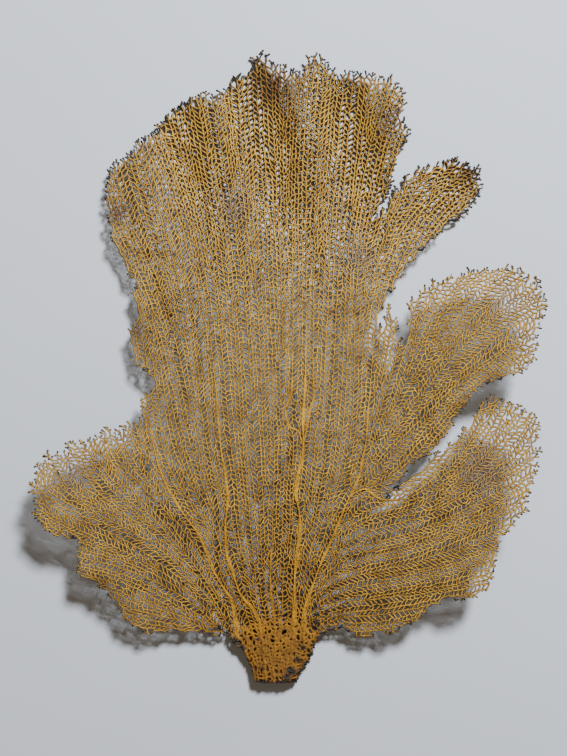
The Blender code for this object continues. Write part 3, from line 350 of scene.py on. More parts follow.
# %% Grow along the grain
CLOSEST = 0.58                      # of a pitch: a strand stops this near to another
FORK = 4                            # points from there to where it joins on
SHORTEST = 7                        # points in the shortest strand
TIP_LONG = 6.0                      # mm, the longest free tips, on the crown and the lobes
TIP_SHORT = 1.6                     # mm, on the smoother left and lower edges
TIP_RANGE = (0.3, 1.0)              # how long a free tip is, as a share of the longest
TIP_TURN = 0.3                      # radians that it commonly strays from the grain
TIP_CLEAR = 0.42                    # of a pitch: a tip comes no nearer than this to a strand
TIP_LEAST = 0.5                     # mm, under which a tip isn't cut down any more
TIP_CUT = 0.6                       # what is left of its length at each cut
TIP_FORKS = 0.12                    # share of the free tips that fork
SMOOTH_LEFT = -60.0                 # plan X: the margin left of this is smooth,
SMOOTH_HEIGHTS = (-35.0, 125.0)     # between these in plan Y,
SMOOTH_BELOW = -115.0               # and so is the one below this
SIDE_WIDTH = 0.9                    # width of a side tip, as a share of a strand's
SIDE_ROOM = 1.6                     # how far out there has to be room, in lengths of the tip
SIDE_CLEAR = 0.35                   # of a pitch: how much room that is


def grow(p, sense):
    """Points from p along the grain until the margin or another strand, and what was met."""
    points = []
    while True:
        x, y = way(p)
        x, y = way((p[0] + x * sense * STEP / 2, p[1] + y * sense * STEP / 2))
        p = (p[0] + x * sense * STEP, p[1] + y * sense * STEP)
        if not inside(p):
            return points, None
        met = near(p, pitch(p) * CLOSEST)
        if met:
            return points, met
        points.append(p)


def on_smooth_edge(p):
    """Whether the margin near p is one of the smoother ones, on the left and below."""
    low, high = SMOOTH_HEIGHTS
    return p[0] < SMOOTH_LEFT and low < p[1] < high or p[1] < SMOOTH_BELOW


def free_tip(p):
    """The end of the free tip that grows on from p, kept clear of the next lobe."""
    x, y = way(p)
    turn = chance.gauss(0, TIP_TURN)
    x, y = x * math.cos(turn) - y * math.sin(turn), x * math.sin(turn) + y * math.cos(turn)
    length = (TIP_SHORT if on_smooth_edge(p) else TIP_LONG) * chance.uniform(*TIP_RANGE)
    while length > TIP_LEAST and near((p[0] + x * length, p[1] + y * length), PITCH * TIP_CLEAR):
        length *= TIP_CUT
    return p[0] + x * length, p[1] + y * length


def side_tip(line, k, turn, length):
    """A free side branch at point k of a strand, if there is room for it."""
    points = strands[line]
    k = min(max(k, 1), len(points) - 2)
    heading = turn + math.atan2(points[k + 1][1] - points[k - 1][1],
                                points[k + 1][0] - points[k - 1][0])
    x, y = math.cos(heading), math.sin(heading)
    start = points[k]
    further = (start[0] + x * length * SIDE_ROOM, start[1] + y * length * SIDE_ROOM)
    if near(further, PITCH * SIDE_CLEAR):
        return None
    first = joint(line, k, 0)
    end = (start[0] + x * length, start[1] + y * length)
    new = keep([start, end], [HALF_WIDTH * SIDE_WIDTH] * 2, 0)
    joints[new] = {0: first}
    return joint(new, 1, 0)


print("free tips up to", TIP_LONG, "mm")

# %% Settle a grown strand
RIB_TAPER = 0.008                   # mm that a rib goes on thinning at each point past its end
RIB_THINNING = 1.5                  # how late on its course a rib thins: 1 is evenly
FORKED_LEAST = 1.4                  # mm, the shortest last stretch that forks
FORK_PLACE = (3, 5)                 # points from its end at which it does
FORK_TURN = (30, 55)                # degrees
FORK_LONG = (1.4, 3.2)              # mm
CUT_HEIGHT = plan([(275, 679)])[0][1]       # plan Y just above the cut


def settle(points, rib_halves, rib_count, depth, met_back, met_ahead):
    """Keeps a grown strand, joined on where it met another, with a free tip at the margin."""
    first = last = None
    if met_back:
        first = joint(met_back[0], met_back[1] - FORK)
        points = spaced([knots[first], points[0]], STEP)[:-1] + points
    if met_ahead:
        last = joint(met_ahead[0], met_ahead[1] + FORK)
        points = points + spaced([points[-1], knots[last]], STEP)[1:]
    else:
        points = points + spaced([points[-1], free_tip(points[-1])], STEP)[1:]
    foot, end = rib_halves
    widths = [foot + (end - foot) * (k / rib_count) ** RIB_THINNING if k < rib_count
              else max(HALF_WIDTH, end - (k - rib_count) * RIB_TAPER) for k in range(len(points))]
    line = keep(points, widths, depth)
    if met_back:
        joints[line][0] = first
    else:
        (roots if points[0][1] < CUT_HEIGHT + STEP else tips).add(joint(line, 0, 0))
    if met_ahead:
        joints[line][len(points) - 1] = last
    else:
        tips.add(joint(line, len(points) - 1, 0))
        if math.dist(points[-1], points[-4]) > FORKED_LEAST and chance.random() < TIP_FORKS:
            turn = chance.choice((1, -1)) * math.radians(chance.uniform(*FORK_TURN))
            k = len(points) - chance.randint(*FORK_PLACE)
            fork = side_tip(line, k, turn, chance.uniform(*FORK_LONG))
            if fork is not None:
                tips.add(fork)
    return line


def strand(seed, depth):
    """A strand through a seed, both ways along the grain, or None where there is no room."""
    back, met_back = grow(seed, -1)
    ahead, met_ahead = grow(seed, 1)
    points = back[::-1] + [seed] + ahead
    if len(points) < SHORTEST:
        return None
    return settle(points, (HALF_WIDTH, HALF_WIDTH), 1, depth, met_back, met_ahead)


def rib(route, *rib_halves):
    """A traced rib, grown on to the margin as a plain strand."""
    points = [p for p in curve(plan(route), STEP) if inside(p)]
    met_back = near(points[0], PITCH * CLOSEST)
    while near(points[0], PITCH / 2):
        points.pop(0)
    back = []
    if not met_back:
        back, met_back = grow(points[0], -1)
    ahead, met_ahead = grow(points[-1], 1)
    return settle(back[::-1] + points + ahead, rib_halves, len(back) + len(points), 0,
                  met_back, met_ahead)


# %% Fill the outline
FREE = 0.93                         # of a pitch: a new strand starts no nearer than this
FREE_LEFT_OVER = 0.78               # the same for the places left over
SPACING = (0.97, 1.08)              # of a pitch: how far beside another it starts
rib_lines = [rib(*traced) for traced in RIBS]
queue = list(rib_lines)
for line in queue:
    points = strands[line]
    for k in range(1, len(points) - 1, 2):
        x, y = points[k + 1][0] - points[k - 1][0], points[k + 1][1] - points[k - 1][1]
        gap = pitch(points[k]) * chance.uniform(*SPACING) + halves[line][k] - HALF_WIDTH
        gap /= max(math.hypot(x, y), TINY)
        for side in (1, -1):
            seed = (points[k][0] - y * gap * side, points[k][1] + x * gap * side)
            if inside(seed) and not near(seed, pitch(seed) * FREE):
                new = strand(seed, depths[line] + 1)
                if new is not None:
                    queue.append(new)

low, high = outline.min(axis=0), outline.max(axis=0)
count_x, count_y = ((high - low) / (PITCH / 2)).astype(int)
seeds = [(low[0] + (i + 0.5) * PITCH / 2, low[1] + (j + 0.5) * PITCH / 2)
         for i in range(count_x) for j in range(count_y)]
chance.shuffle(seeds)
for seed in seeds:
    if inside(seed) and not near(seed, pitch(seed) * FREE_LEFT_OVER):
        strand(seed, chance.randint(0, 1))
print(len(strands), "strands,", round(sum(len(s) for s in strands) * STEP / 1000, 1), "m in all")

# %% [markdown]
# ## Cross strands
# Short cross strands leave a strand aslant, upwards, on both sides, and grow until they touch the
# next one. Every second strand bears them first, so it stays straight, and the ones between are
# drawn into a zigzag. That gives the herringbone look of the fan's middle. Where there is no room
# for a whole cross strand, it often stays a short bud.

# %% Where a straight growth touches another strand
ACROSS = 1.5                        # how much more a gap across the grain counts in crowding
PARALLEL = 1e-9                     # under this, two lines count as parallel


def crossing(a, b, c, d):
    """Shares along a-b and along c-d at which the two straight lines cross, or None."""
    sx, sy, tx, ty = b[0] - a[0], b[1] - a[1], d[0] - c[0], d[1] - c[1]
    det = sx * ty - sy * tx
    if abs(det) < PARALLEL:
        return None
    ux, uy = c[0] - a[0], c[1] - a[1]
    return (ux * ty - uy * tx) / det, (ux * sy - uy * sx) / det


def first_touch(start, end, skip):
    """The first strand that start-end crosses after skip, as its strand and point number."""
    reach = math.dist(start, end)
    best, found = 1.0, None
    low = square((min(start[0], end[0]) - STEP, min(start[1], end[1]) - STEP))
    high = square((max(start[0], end[0]) + STEP, max(start[1], end[1]) + STEP))
    for spot in [(i, j) for i in range(low[0], high[0] + 1) for j in range(low[1], high[1] + 1)]:
        for line, k in squares.get(spot, ()):
            points = strands[line]
            for n in (k - 1, k):
                if n < 0 or n + 1 >= len(points):
                    continue
                shares = crossing(start, end, points[n], points[n + 1])
                if shares and -0.02 <= shares[1] <= 1.02 and skip / reach < shares[0] < best:
                    best, found = shares[0], (line, n + (shares[1] > 0.5))
    return found


def crowded(middle, spread):
    """Whether another cross strand's middle is too near, mainly along the grain."""
    i, j = square(middle)
    x, y = way(middle)
    reach = spread * cell(middle)
    for spot in ((a, b) for a in (i - 1, i, i + 1) for b in (j - 1, j, j + 1)):
        for other in middles.get(spot, ()):
            dx, dy = other[0] - middle[0], other[1] - middle[1]
            if math.hypot(dx * x + dy * y, (dx * y - dy * x) * ACROSS) < reach:
                return True
    return False


# %% Bear the cross strands
LINK_TURN = (42, 62)                # degrees between a strand and the cross strands it bears
LINK_LEAST = 0.35                   # of a pitch: the shortest cross strand
SPREADS = (0.84, 0.68)              # of a cell: how near two cross strands may be
MARGIN_SHARE = 0.32                 # how often a try at the margin makes a free branch
SMOOTH_SHARE = 0.12                 # the same at the smoother margins
BUD_SHARE = 0.08                    # how often a place bears a bud
BUD_LONG = (0.8, 1.7)               # mm
BRANCH_LONG = (1.0, 4.2)            # mm, a free branch at the margin
SMOOTH_LONG = (1.0, 1.8)            # mm, the same at the smoother margins
GUESS = 0.6                         # of a pitch: where the middle is looked for at first
GUESS_SPREAD = 0.8                  # how much of the spread has to be free there
SKIP = 0.3                          # of a pitch: what is crossed within this doesn't count
REACHES = (1.3, 2.3)                # of a pitch: how far a cross strand looks for another
LINK_WIDTH = 0.92                   # its width, as a share of a strand's
BOW = 0.1                           # how far it bows at the most, as a share of its length
STRIDE = (0.7, 0.9)                 # of a cell, from one cross strand to the next
RETRY = 0.15                        # of a cell, to the next try where there was no room


def margin_branch(line, k, turn):
    """A free branch at the side of the fan."""
    smooth_edge = on_smooth_edge(strands[line][k])
    if chance.random() < (SMOOTH_SHARE if smooth_edge else MARGIN_SHARE):
        end = side_tip(line, k, turn, chance.uniform(*(SMOOTH_LONG if smooth_edge else BRANCH_LONG)))
        if end is not None:
            tips.add(end)
            middle = knots[end]
            middles.setdefault(square(middle), []).append(middle)


def link(line, k, side, spread):
    """A cross strand from point k of a strand, grown aslant until it touches another."""
    points = strands[line]
    a, b = points[max(k - 2, 0)], points[min(k + 2, len(points) - 1)]
    turn = side * math.radians(chance.uniform(*LINK_TURN))
    heading = math.atan2(b[1] - a[1], b[0] - a[0]) + turn
    start, x, y = points[k], math.cos(heading), math.sin(heading)
    wide = pitch(start)
    guess = (start[0] + x * wide * GUESS, start[1] + y * wide * GUESS)
    if crowded(guess, spread * GUESS_SPREAD):
        return False
    if not inside(guess):
        margin_branch(line, k, turn)
        return False
    hit = None
    for reach in (wide * share for share in REACHES):
        hit = hit or first_touch(start, (start[0] + x * reach, start[1] + y * reach), wide * SKIP)
    if hit is None:
        return False
    far = strands[hit[0]][hit[1]]
    middle = ((start[0] + far[0]) / 2, (start[1] + far[1]) / 2)
    if crowded(middle, spread) or not (inside(start) and inside(middle) and inside(far)):
        return False
    first, last = joint(line, k), joint(*hit)
    if math.dist(knots[first], knots[last]) < wide * LINK_LEAST:
        return False
    middles.setdefault(square(middle), []).append(middle)
    bow = chance.uniform(-BOW, BOW)
    p, q = knots[first], knots[last]
    bend = ((p[0] + q[0]) / 2 - (q[1] - p[1]) * bow, (p[1] + q[1]) / 2 + (q[0] - p[0]) * bow)
    points = spaced([p, bend, q], STEP)
    new = keep(points, [HALF_WIDTH * LINK_WIDTH] * len(points), 0)
    joints[new] = {0: first, len(points) - 1: last}
    return True


order = sorted(range(len(strands)), key=lambda line: depths[line] % 2)
for spread in SPREADS:
    for line in order:
        for side in (1, -1):
            place = chance.uniform(0, CELL / STEP)
            while place < len(strands[line]) - 1:
                stride = cell(strands[line][int(place)]) / STEP
                made = link(line, int(place), side, spread)
                place += stride * (chance.uniform(*STRIDE) if made else RETRY)
for line in order:
    for k in range(2, len(strands[line]) - 2, 4):
        if chance.random() < BUD_SHARE:
            turn = chance.choice((1, -1)) * math.radians(chance.uniform(*LINK_TURN))
            end = side_tip(line, k, turn, chance.uniform(*BUD_LONG))
            if end is not None:
                buds.add(end)
print(len(strands) - len(order), "cross strands")

# %% [markdown]
# ## From strands to a flat graph
# The pieces between neighbouring knots are the edges of the net. Very short ones are closed up, and
# where two cross, the thinner one goes. Then each knot is drawn towards the middle of its neighbours
# a little, which rounds the cells, as in a real net.

# %% Edges between knots
SHORTEST_EDGE = 0.24                # of a pitch
widths = {}
for line in range(len(strands)):
    places = sorted(joints[line].items())
    for (k0, a), (k1, b) in zip(places, places[1:]):
        if a != b and (a, b) not in widths and (b, a) not in widths:
            widths[(a, b)] = halves[line][(k0 + k1) // 2]

home = list(range(len(knots)))
for a, b in sorted(widths, key=lambda e: math.dist(knots[e[0]], knots[e[1]])):
    if math.dist(knots[a], knots[b]) > PITCH * SHORTEST_EDGE:
        break
    if home[a] == a and home[b] == b and not {a, b} & (tips | buds):
        home[b if b not in roots else a] = a if b not in roots else b
for n in range(len(home)):
    while home[home[n]] != home[n]:
        home[n] = home[home[n]]
closed = {}
for (a, b), half in widths.items():
    pair = (home[a], home[b])
    if pair[0] != pair[1] and pair not in closed and pair[::-1] not in closed:
        closed[pair] = half
widths = closed
print(len(widths), "edges")

# %% Uncross and trim
def uncross():
    """Takes out the thinner and shorter of two edges that cross."""
    near_edges = {}
    for edge in widths:
        a, b = (knots[n] for n in edge)
        for i in range(int(min(a[0], b[0]) // PITCH), int(max(a[0], b[0]) // PITCH) + 1):
            for j in range(int(min(a[1], b[1]) // PITCH), int(max(a[1], b[1]) // PITCH) + 1):
                near_edges.setdefault((i, j), []).append(edge)
    for edges in near_edges.values():
        for n, edge in enumerate(edges):
            for other in edges[n + 1:]:
                if set(edge) & set(other) or edge not in widths or other not in widths:
                    continue
                shares = crossing(*(knots[n] for n in edge + other))
                if shares and 0 <= shares[0] <= 1 and 0 <= shares[1] <= 1:
                    worst = min(edge, other, key=lambda e: (
                        widths[e], -math.dist(knots[e[0]], knots[e[1]])))
                    del widths[worst]


def neighbours():
    """The neighbours of each knot, anticlockwise."""
    around = {}
    for a, b in widths:
        around.setdefault(a, []).append(b)
        around.setdefault(b, []).append(a)
    for a, others in around.items():
        x, y = knots[a]
        others.sort(key=lambda b: math.atan2(knots[b][1] - y, knots[b][0] - x))
    return around


def drop_stubs():
    """Takes out loose ends that are neither a free tip at the margin nor a root."""
    while True:
        around = neighbours()
        loose = {(a, b) for a, b in widths for n in (a, b)
                 if len(around[n]) == 1 and n not in tips and n not in roots and n not in buds}
        if not loose:
            return
        for edge in loose:
            del widths[edge]


uncross()
drop_stubs()
around = neighbours()
print(len(widths), "edges after trimming")

# %% Mend what is too open
LONGEST_EDGE = 1.3                  # of a cell's length
LARGEST_CELL = 1.6                  # times a pitch by a cell's length
SPLIT_WIDTH = 0.9                   # width of a strand across one, as a share of a plain one's
SPLIT_ROUNDS = 3


def cells():
    """Each cell as the ring of its directed edges."""
    waiting = {edge for a, b in widths for edge in ((a, b), (b, a))}
    for start in sorted(waiting):
        ring, edge = [], start
        while edge in waiting:
            waiting.discard(edge)
            ring.append(edge)
            a, b = edge
            edge = (b, around[b][around[b].index(a) - 1])
        if ring:
            yield ring


def ring_area(points):
    """The area of a ring of points, above 0 if it runs anticlockwise."""
    return sum(p[0] * q[1] - q[0] * p[1] for p, q in zip(points, points[1:] + points[:1])) / 2


def halve_long():
    """Puts a knot in the middle of each strand piece that is too long."""
    for (a, b), half in sorted(widths.items()):
        p, q = knots[a], knots[b]
        if math.dist(p, q) > LONGEST_EDGE * cell(p) and not {a, b} & tips:
            new = len(knots)
            knots.append(((p[0] + q[0]) / 2, (p[1] + q[1]) / 2))
            knot_line.append(knot_line[a])
            home.append(new)
            del widths[(a, b)]
            widths[(a, new)] = widths[(new, b)] = half


def split_large():
    """Grows a strand piece across each cell that is too large, and counts them."""
    made = 0
    for ring in list(cells()):
        points = [knots[a] for a, _ in ring]
        if ring_area(points) < LARGEST_CELL * pitch(points[0]) * cell(points[0]):
            continue
        best = (0.0, (0, 0))
        for i in range(len(ring)):
            for j in range(i + 2, len(ring) - (i == 0)):
                parts = ring_area(points[i:j + 1]), ring_area(points[j:] + points[:i + 1])
                score = min(parts) / max(math.dist(points[i], points[j]), STEP)
                best = max(best, (score, (ring[i][0], ring[j][0])))
        if best[1][0] != best[1][1]:
            widths.setdefault(best[1], HALF_WIDTH * SPLIT_WIDTH)
            made += 1
    return made


halve_long()
for _ in range(SPLIT_ROUNDS):
    around = neighbours()
    print(split_large(), "cells split")
    uncross()
    drop_stubs()

# %% Relax the knots
RELAX_ROUNDS = 3
RELAX_SHARE = 0.4                   # of the way to the middle of its neighbours, each round
LEADER_SHARE = 0.12                 # the strands that bear the cross strands stay straighter
STIFFNESS = 4                       # how much less a thick strand gives way
WANDER = 0.09                       # of a pitch: how far the other knots stray
LOBE_WANDER = 0.13                  # the same on the side lobes, where all of them do
CROWN_WANDER = 0.11                 # the same on the crown, where all of them do
STEM_WANDER = 0.17                  # and on the stem
around = neighbours()
for _ in range(RELAX_ROUNDS):
    moved = list(knots)
    for a, others in around.items():
        if len(others) < 3 or a in roots:
            continue
        thick = max(widths.get((a, b), widths.get((b, a))) for b in others)
        leader = depths[knot_line[a]] % 2 == 0
        share = RELAX_SHARE
        if leader:
            share = LEADER_SHARE + (RELAX_SHARE - LEADER_SHARE) * in_lobes(knots[a])
        share *= (HALF_WIDTH / thick) ** STIFFNESS
        x = sum(knots[b][0] for b in others) / len(others)
        y = sum(knots[b][1] for b in others) / len(others)
        moved[a] = (knots[a][0] + (x - knots[a][0]) * share, knots[a][1] + (y - knots[a][1]) * share)
    knots = moved
for n in sorted(around):
    in_stem = inside(knots[n], stem_sides)
    crown, lobe = zone(knots[n][1], CROWN), in_lobes(knots[n])
    free = in_stem or crown or lobe or depths[knot_line[n]] % 2
    if n not in roots and free and len(around[n]) > 2:
        x, y = knots[n]
        wander = WANDER + (CROWN_WANDER - WANDER) * crown + (LOBE_WANDER - WANDER) * lobe
        wander = pitch((x, y)) * (STEM_WANDER if in_stem else wander)
        knots[n] = (x + chance.gauss(0, wander), y + chance.gauss(0, wander))
uncross()
drop_stubs()
around = neighbours()

# %% Bends between the knots
BEND_LEAST = 2.0                    # mm: shorter strand pieces stay straight
BEND = 0.07                         # how far the middle strays, as a share of the length
BEND_WIDTHS = (0.9, 1.08)           # how much the width of the two halves varies
for (a, b), half in sorted(widths.items()):
    p, q = knots[a], knots[b]
    if math.dist(p, q) > BEND_LEAST and not {a, b} & tips:
        new, off = len(knots), chance.gauss(0, BEND)
        knots.append(((p[0] + q[0]) / 2 - (q[1] - p[1]) * off, (p[1] + q[1]) / 2 + (q[0] - p[0]) * off))
        knot_line.append(knot_line[a])
        home.append(new)
        del widths[(a, b)]
        widths[(a, new)], widths[(new, b)] = (
            half * chance.uniform(*BEND_WIDTHS) for _ in range(2))
around = neighbours()
print("mean edge", round(sum(math.dist(knots[a], knots[b]) for a, b in widths) / len(widths), 2), "mm")

# %% How thick the strands are
LOBE_STOUT = 1.1                    # how much thicker they are on the side lobes
CROWN_STOUT = 1.15                  # how much thicker they are on the crown


def stoutness(p):
    """How thick a strand is at p, as a share of the plain one."""
    return ((1 + (LOBE_STOUT - 1) * in_lobes(p))
            * (1 + (CROWN_STOUT - 1) * zone(p[1], CROWN)))


for a, b in widths:
    middle = ((knots[a][0] + knots[b][0]) / 2, (knots[a][1] + knots[b][1]) / 2)
    widths[(a, b)] *= stoutness(middle)
print("strands", round(2 * min(widths.values()), 2), "to", round(2 * max(widths.values()), 2), "mm")

# %% [markdown]
# ## The sides of the strands
# Walking round each cell gives its corners. A corner point lies where the sides of the two strands
# meet, and never so far in that the cell would close.

# %% Corners of the cells
CORNER_REACH = 1.9                  # longest corner, in half widths
CELL_SHARE = 0.72                   # share of a cell's inner radius that its strands may fill
CLEAR_SHARE = 0.6                   # share of the way over a cell that one strand's side may take
RIB_LEAST = 1.25                    # half width from which a strand is never narrowed
RIB_CLEAR = 2.0                     # how much more of the way over a cell a rib may take
WIDE_TURN = 2.6                     # radians past which a corner counts as nearly straight


def width(a, b):
    """The half width of the strand piece between two knots."""
    return widths[(a, b)] if (a, b) in widths else widths[(b, a)]


def clearance(p, edges):
    """Distance from p to the nearest of the edges that p isn't an end of."""
    apart = (np.hypot(edges[:, 0] - p[0], edges[:, 1] - p[1]) > TINY) & (
        np.hypot(edges[:, 2] - p[0], edges[:, 3] - p[1]) > TINY)
    edges = edges[apart]
    if not len(edges):
        return math.inf
    start, reach = edges[:, :2], edges[:, 2:] - edges[:, :2]
    share = np.clip(((p - start) * reach).sum(axis=1) / (reach * reach).sum(axis=1), 0, 1)
    gaps = start + reach * share[:, None] - p
    return float(np.sqrt((gaps * gaps).sum(axis=1).min()))


def fullness(ring):
    """The share of their width that the strands round a cell keep, so that it stays open."""
    points = [knots[a] for a, _ in ring]
    area = ring_area(points)
    if area < 0:
        return 1.0
    length = sum(math.dist(p, q) for p, q in zip(points, points[1:] + points[:1]))
    widest = max(min(width(*edge), RIB_LEAST) for edge in ring)
    return min(1.0, CELL_SHARE * 2 * area / length / widest)


# %% Rims on both sides of every strand
end_rims, start_rims = {}, {}


def free_sides(a, b, half):
    """Left and right of the free end b of edge a-b."""
    (px, py), (qx, qy) = knots[a], knots[b]
    length = max(math.dist(knots[a], knots[b]), TINY)
    x, y = (qx - px) / length * half, (qy - py) / length * half
    return (qx - y, qy + x), (qx + y, qy - x)


def corner(a, b, c, share, clear):
    """The corner at knot b of the cell on the left of a-b-c."""
    here = knots[b]
    back = math.atan2(knots[a][1] - here[1], knots[a][0] - here[0])
    ahead = math.atan2(knots[c][1] - here[1], knots[c][0] - here[0])
    turn = (back - ahead) % (2 * math.pi)
    half_back, half_ahead = (half * (share if half < RIB_LEAST else 1.0)
                             for half in (width(a, b), width(b, c)))
    if turn < WIDE_TURN:
        x = (half_back * math.cos(ahead) + half_ahead * math.cos(back)) / math.sin(turn)
        y = (half_back * math.sin(ahead) + half_ahead * math.sin(back)) / math.sin(turn)
    else:
        reach = (half_back + half_ahead) / 2 / math.sin(turn / 2)
        x, y = math.cos(ahead + turn / 2) * reach, math.sin(ahead + turn / 2) * reach
    rib_here = max(width(a, b), width(b, c)) >= RIB_LEAST
    limit = min(CORNER_REACH * max(half_back, half_ahead), clear * (RIB_CLEAR if rib_here else 1.0))
    shrink = min(1.0, limit / max(math.hypot(x, y), TINY))
    return here[0] + x * shrink, here[1] + y * shrink


for ring in cells():
    share = fullness(ring)
    ring_edges = np.array([(*knots[a], *knots[b]) for a, b in ring])
    for edge, following in zip(ring, ring[1:] + ring[:1]):
        (a, b), (_, c) = edge, following
        clear = CLEAR_SHARE * clearance(knots[b], ring_edges)
        if a == c:
            sides = free_sides(a, b, min(width(a, b), clear))
        else:
            sides = (corner(a, b, c, share, clear),) * 2
        end_rims[edge], start_rims[following] = sides
print(len(end_rims), "rims")

# %% [markdown]
# ## The relief
# The fan isn't flat: it rests on its crown and stem, and the side lobes stand up to 38 mm off the
# surface. Heights were judged at a few places and a thin plate is bent through them, as a sheet of
# spring steel would take the shape. The crown has shallow waves on top of that.

# %% Heights and the bent plate
HEIGHTS = [                         # a place in the picture, and mm over the surface there
    (275, 680, 5.4), (250, 655, 5.4), (300, 655, 5.4), (272, 650, 5.2), (272, 622, 6.5),
    (270, 590, 9), (270, 540, 13),
    (265, 470, 17), (265, 400, 18), (262, 330, 15), (255, 260, 10), (240, 190, 5), (250, 120, 2),
    (262, 65, 5), (108, 195, 13), (112, 240, 16), (130, 290, 15), (130, 345, 16), (150, 395, 16),
    (172, 140, 4), (205, 105, 1), (170, 240, 11), (195, 400, 17), (178, 500, 18), (100, 500, 26),
    (42, 490, 33), (60, 530, 31), (100, 590, 25), (155, 625, 18), (215, 632, 11), (335, 625, 12),
    (400, 620, 23), (480, 590, 32), (505, 525, 35), (534, 430, 36), (430, 500, 27), (370, 520, 19),
    (400, 420, 23), (460, 400, 28), (530, 345, 34), (538, 290, 33), (450, 290, 26), (410, 330, 23),
    (375, 370, 18), (390, 312, 19), (402, 250, 10), (440, 205, 3), (476, 180, 1), (388, 150, 4),
    (402, 105, 8), (380, 84, 3), (340, 130, 1), (322, 70, 9), (330, 200, 4), (340, 270, 9),
    (330, 350, 15), (330, 430, 18), (320, 520, 15)]
RELIEF_EASE = 0.15                  # how loosely the plate follows them
PLATE_SCALE = 100.0                 # mm that count as one in bending it
RUFFLE = 3.0                        # mm, the height of the waves on the crown
RUFFLE_LENGTH = 64.0                # mm from wave to wave
RUFFLE_SLANT = 31.0                 # mm up the fan over which they shift by one radian
RUFFLE_FADE = (40.0, 190.0)         # plan Y where they begin, and where they are full
SLOPE_STEP = 0.5                    # mm either way over which the slope is taken
LEAST_HEIGHT = 0.02                 # mm over the surface, the lowest that anything comes
HALF_THICKNESS = 1.25               # mm: strands are deeper than they are wide
spots = np.array(plan([(x, y) for x, y, _ in HEIGHTS]))


def bend(gap):
    """How a thin plate gives way at a distance from a place where it is held."""
    scaled = gap / PLATE_SCALE
    return scaled * scaled * np.log(scaled + 1e-9)


count = len(HEIGHTS)
flat = np.hstack([np.ones((count, 1)), spots])
system = np.zeros((count + 3, count + 3))
system[:count, :count] = bend(np.linalg.norm(spots[:, None] - spots[None], axis=2))
system[:count, :count] += np.eye(count) * RELIEF_EASE
system[:count, count:], system[count:, :count] = flat, flat.T
plate = np.linalg.solve(system, [z for _, _, z in HEIGHTS] + [0.0] * 3)


def relief(points):
    """Height of the middle of the net over each of the plan places."""
    gaps = np.linalg.norm(points[:, None] - spots[None], axis=2)
    smooth = bend(gaps) @ plate[:-3] + plate[-3] + points @ plate[-2:]
    low, high = RUFFLE_FADE
    share = np.clip((points[:, 1] - low) / (high - low), 0.0, 1.0)
    wave = np.sin(2 * math.pi * points[:, 0] / RUFFLE_LENGTH + points[:, 1] / RUFFLE_SLANT)
    return np.maximum(smooth + RUFFLE * share * wave, HALF_THICKNESS)


def place(points, out, lift=0.0):
    """Places in metres of plan points, moved out along the relief's normal."""
    points, step = np.array(points, dtype=float), SLOPE_STEP
    z = relief(points) + lift
    slope_x = (relief(points + (step, 0)) - relief(points - (step, 0))) / (2 * step)
    slope_y = (relief(points + (0, step)) - relief(points - (0, step))) / (2 * step)
    length = np.sqrt(slope_x ** 2 + slope_y ** 2 + 1)
    nearer = 1 - z / VIEW_HEIGHT
    made = np.stack([points[:, 0] * nearer - slope_x / length * out - MIDDLE[0],
                     points[:, 1] * nearer - slope_y / length * out - MIDDLE[1],
                     np.maximum(z + out / length, LEAST_HEIGHT)], axis=1)
    return made * METRES


print("heights", relief(spots).min().round(1), "to", relief(spots).max().round(1), "mm")

# %% [markdown]
# ## Which blade a strand is on
# The fan parts at its main forks into six blades. Each blade is one piece here, as in the solids.
# A knot belongs to the first blade whose parting line it lies to the right of.

# %% Where the blades part
PARTINGS = [
    ("lower_right_lobe", [(304, 620), (318, 580), (332, 552), (345, 520), (352, 500), (364, 482),
                          (378, 492), (388, 490), (425, 459), (450, 440)]),
    ("middle_right_lobe", [(352, 520), (363, 478), (371, 440), (374, 400), (377, 360), (380, 330),
                           (386, 300), (420, 272), (480, 236)]),
    ("finger_blade", [(299, 619), (309, 570), (322, 520), (331, 470), (336, 420), (341, 360),
                      (347, 300), (354, 240), (366, 222), (385, 208), (400, 195)]),
    ("centre_blade", [(262, 619), (258, 580), (250, 520), (246, 450), (244, 380), (240, 300),
                      (236, 200), (243, 120), (246, 60)]),
    ("left_blade", [(240, 628), (222, 592), (196, 550), (170, 505), (148, 465), (140, 430),
                    (120, 400)])]
LAST_BLADE = "left_lobe"


def right_of(p, line):
    """Whether p is on the right of the stretch of the line that is nearest to it."""
    best = None
    for a, b in zip(line, line[1:]):
        dx, dy = b[0] - a[0], b[1] - a[1]
        t = ((p[0] - a[0]) * dx + (p[1] - a[1]) * dy) / (dx * dx + dy * dy)
        t = min(max(t, 0.0), 1.0)
        gap = math.dist(p, (a[0] + dx * t, a[1] + dy * t))
        if best is None or gap < best[0]:
            best = (gap, dx * (p[1] - a[1]) - dy * (p[0] - a[0]) < 0)
    return best[1]


parting_lines = [(name, plan(line)) for name, line in PARTINGS]


def blade_of(p):
    """The blade that a plan place above the palm is on."""
    for name, line in parting_lines:
        if right_of(p, line):
            return name
    return LAST_BLADE


knot_blade = {n: "holdfast" if inside(knots[n], stem_sides) else blade_of(knots[n])
              for n in around}
blades = {}
for a, b in widths:
    owner = knot_blade[b] if knot_blade[a] == "holdfast" else knot_blade[a]
    blades.setdefault(owner, []).append((a, b))
stem_edges = blades.pop("holdfast")
for name in sorted(blades):
    print(name, len(blades[name]), "strand pieces")

# %% [markdown]
# ## One cage for each blade
# A dried strand is a round, knobbly thread. Sweeping a tube along every strand would leave tubes
# that only pass through each other at the knots, where the real ones have grown together. So each
# blade is one cage instead: every strand is a bar with an upper and a lower ridge and two rims, and
# bars share their corners at the knots. Smooth shading rounds the bars and fillets the knots, and a
# strand piece costs only eight triangles, so the net can be as fine as the real one.

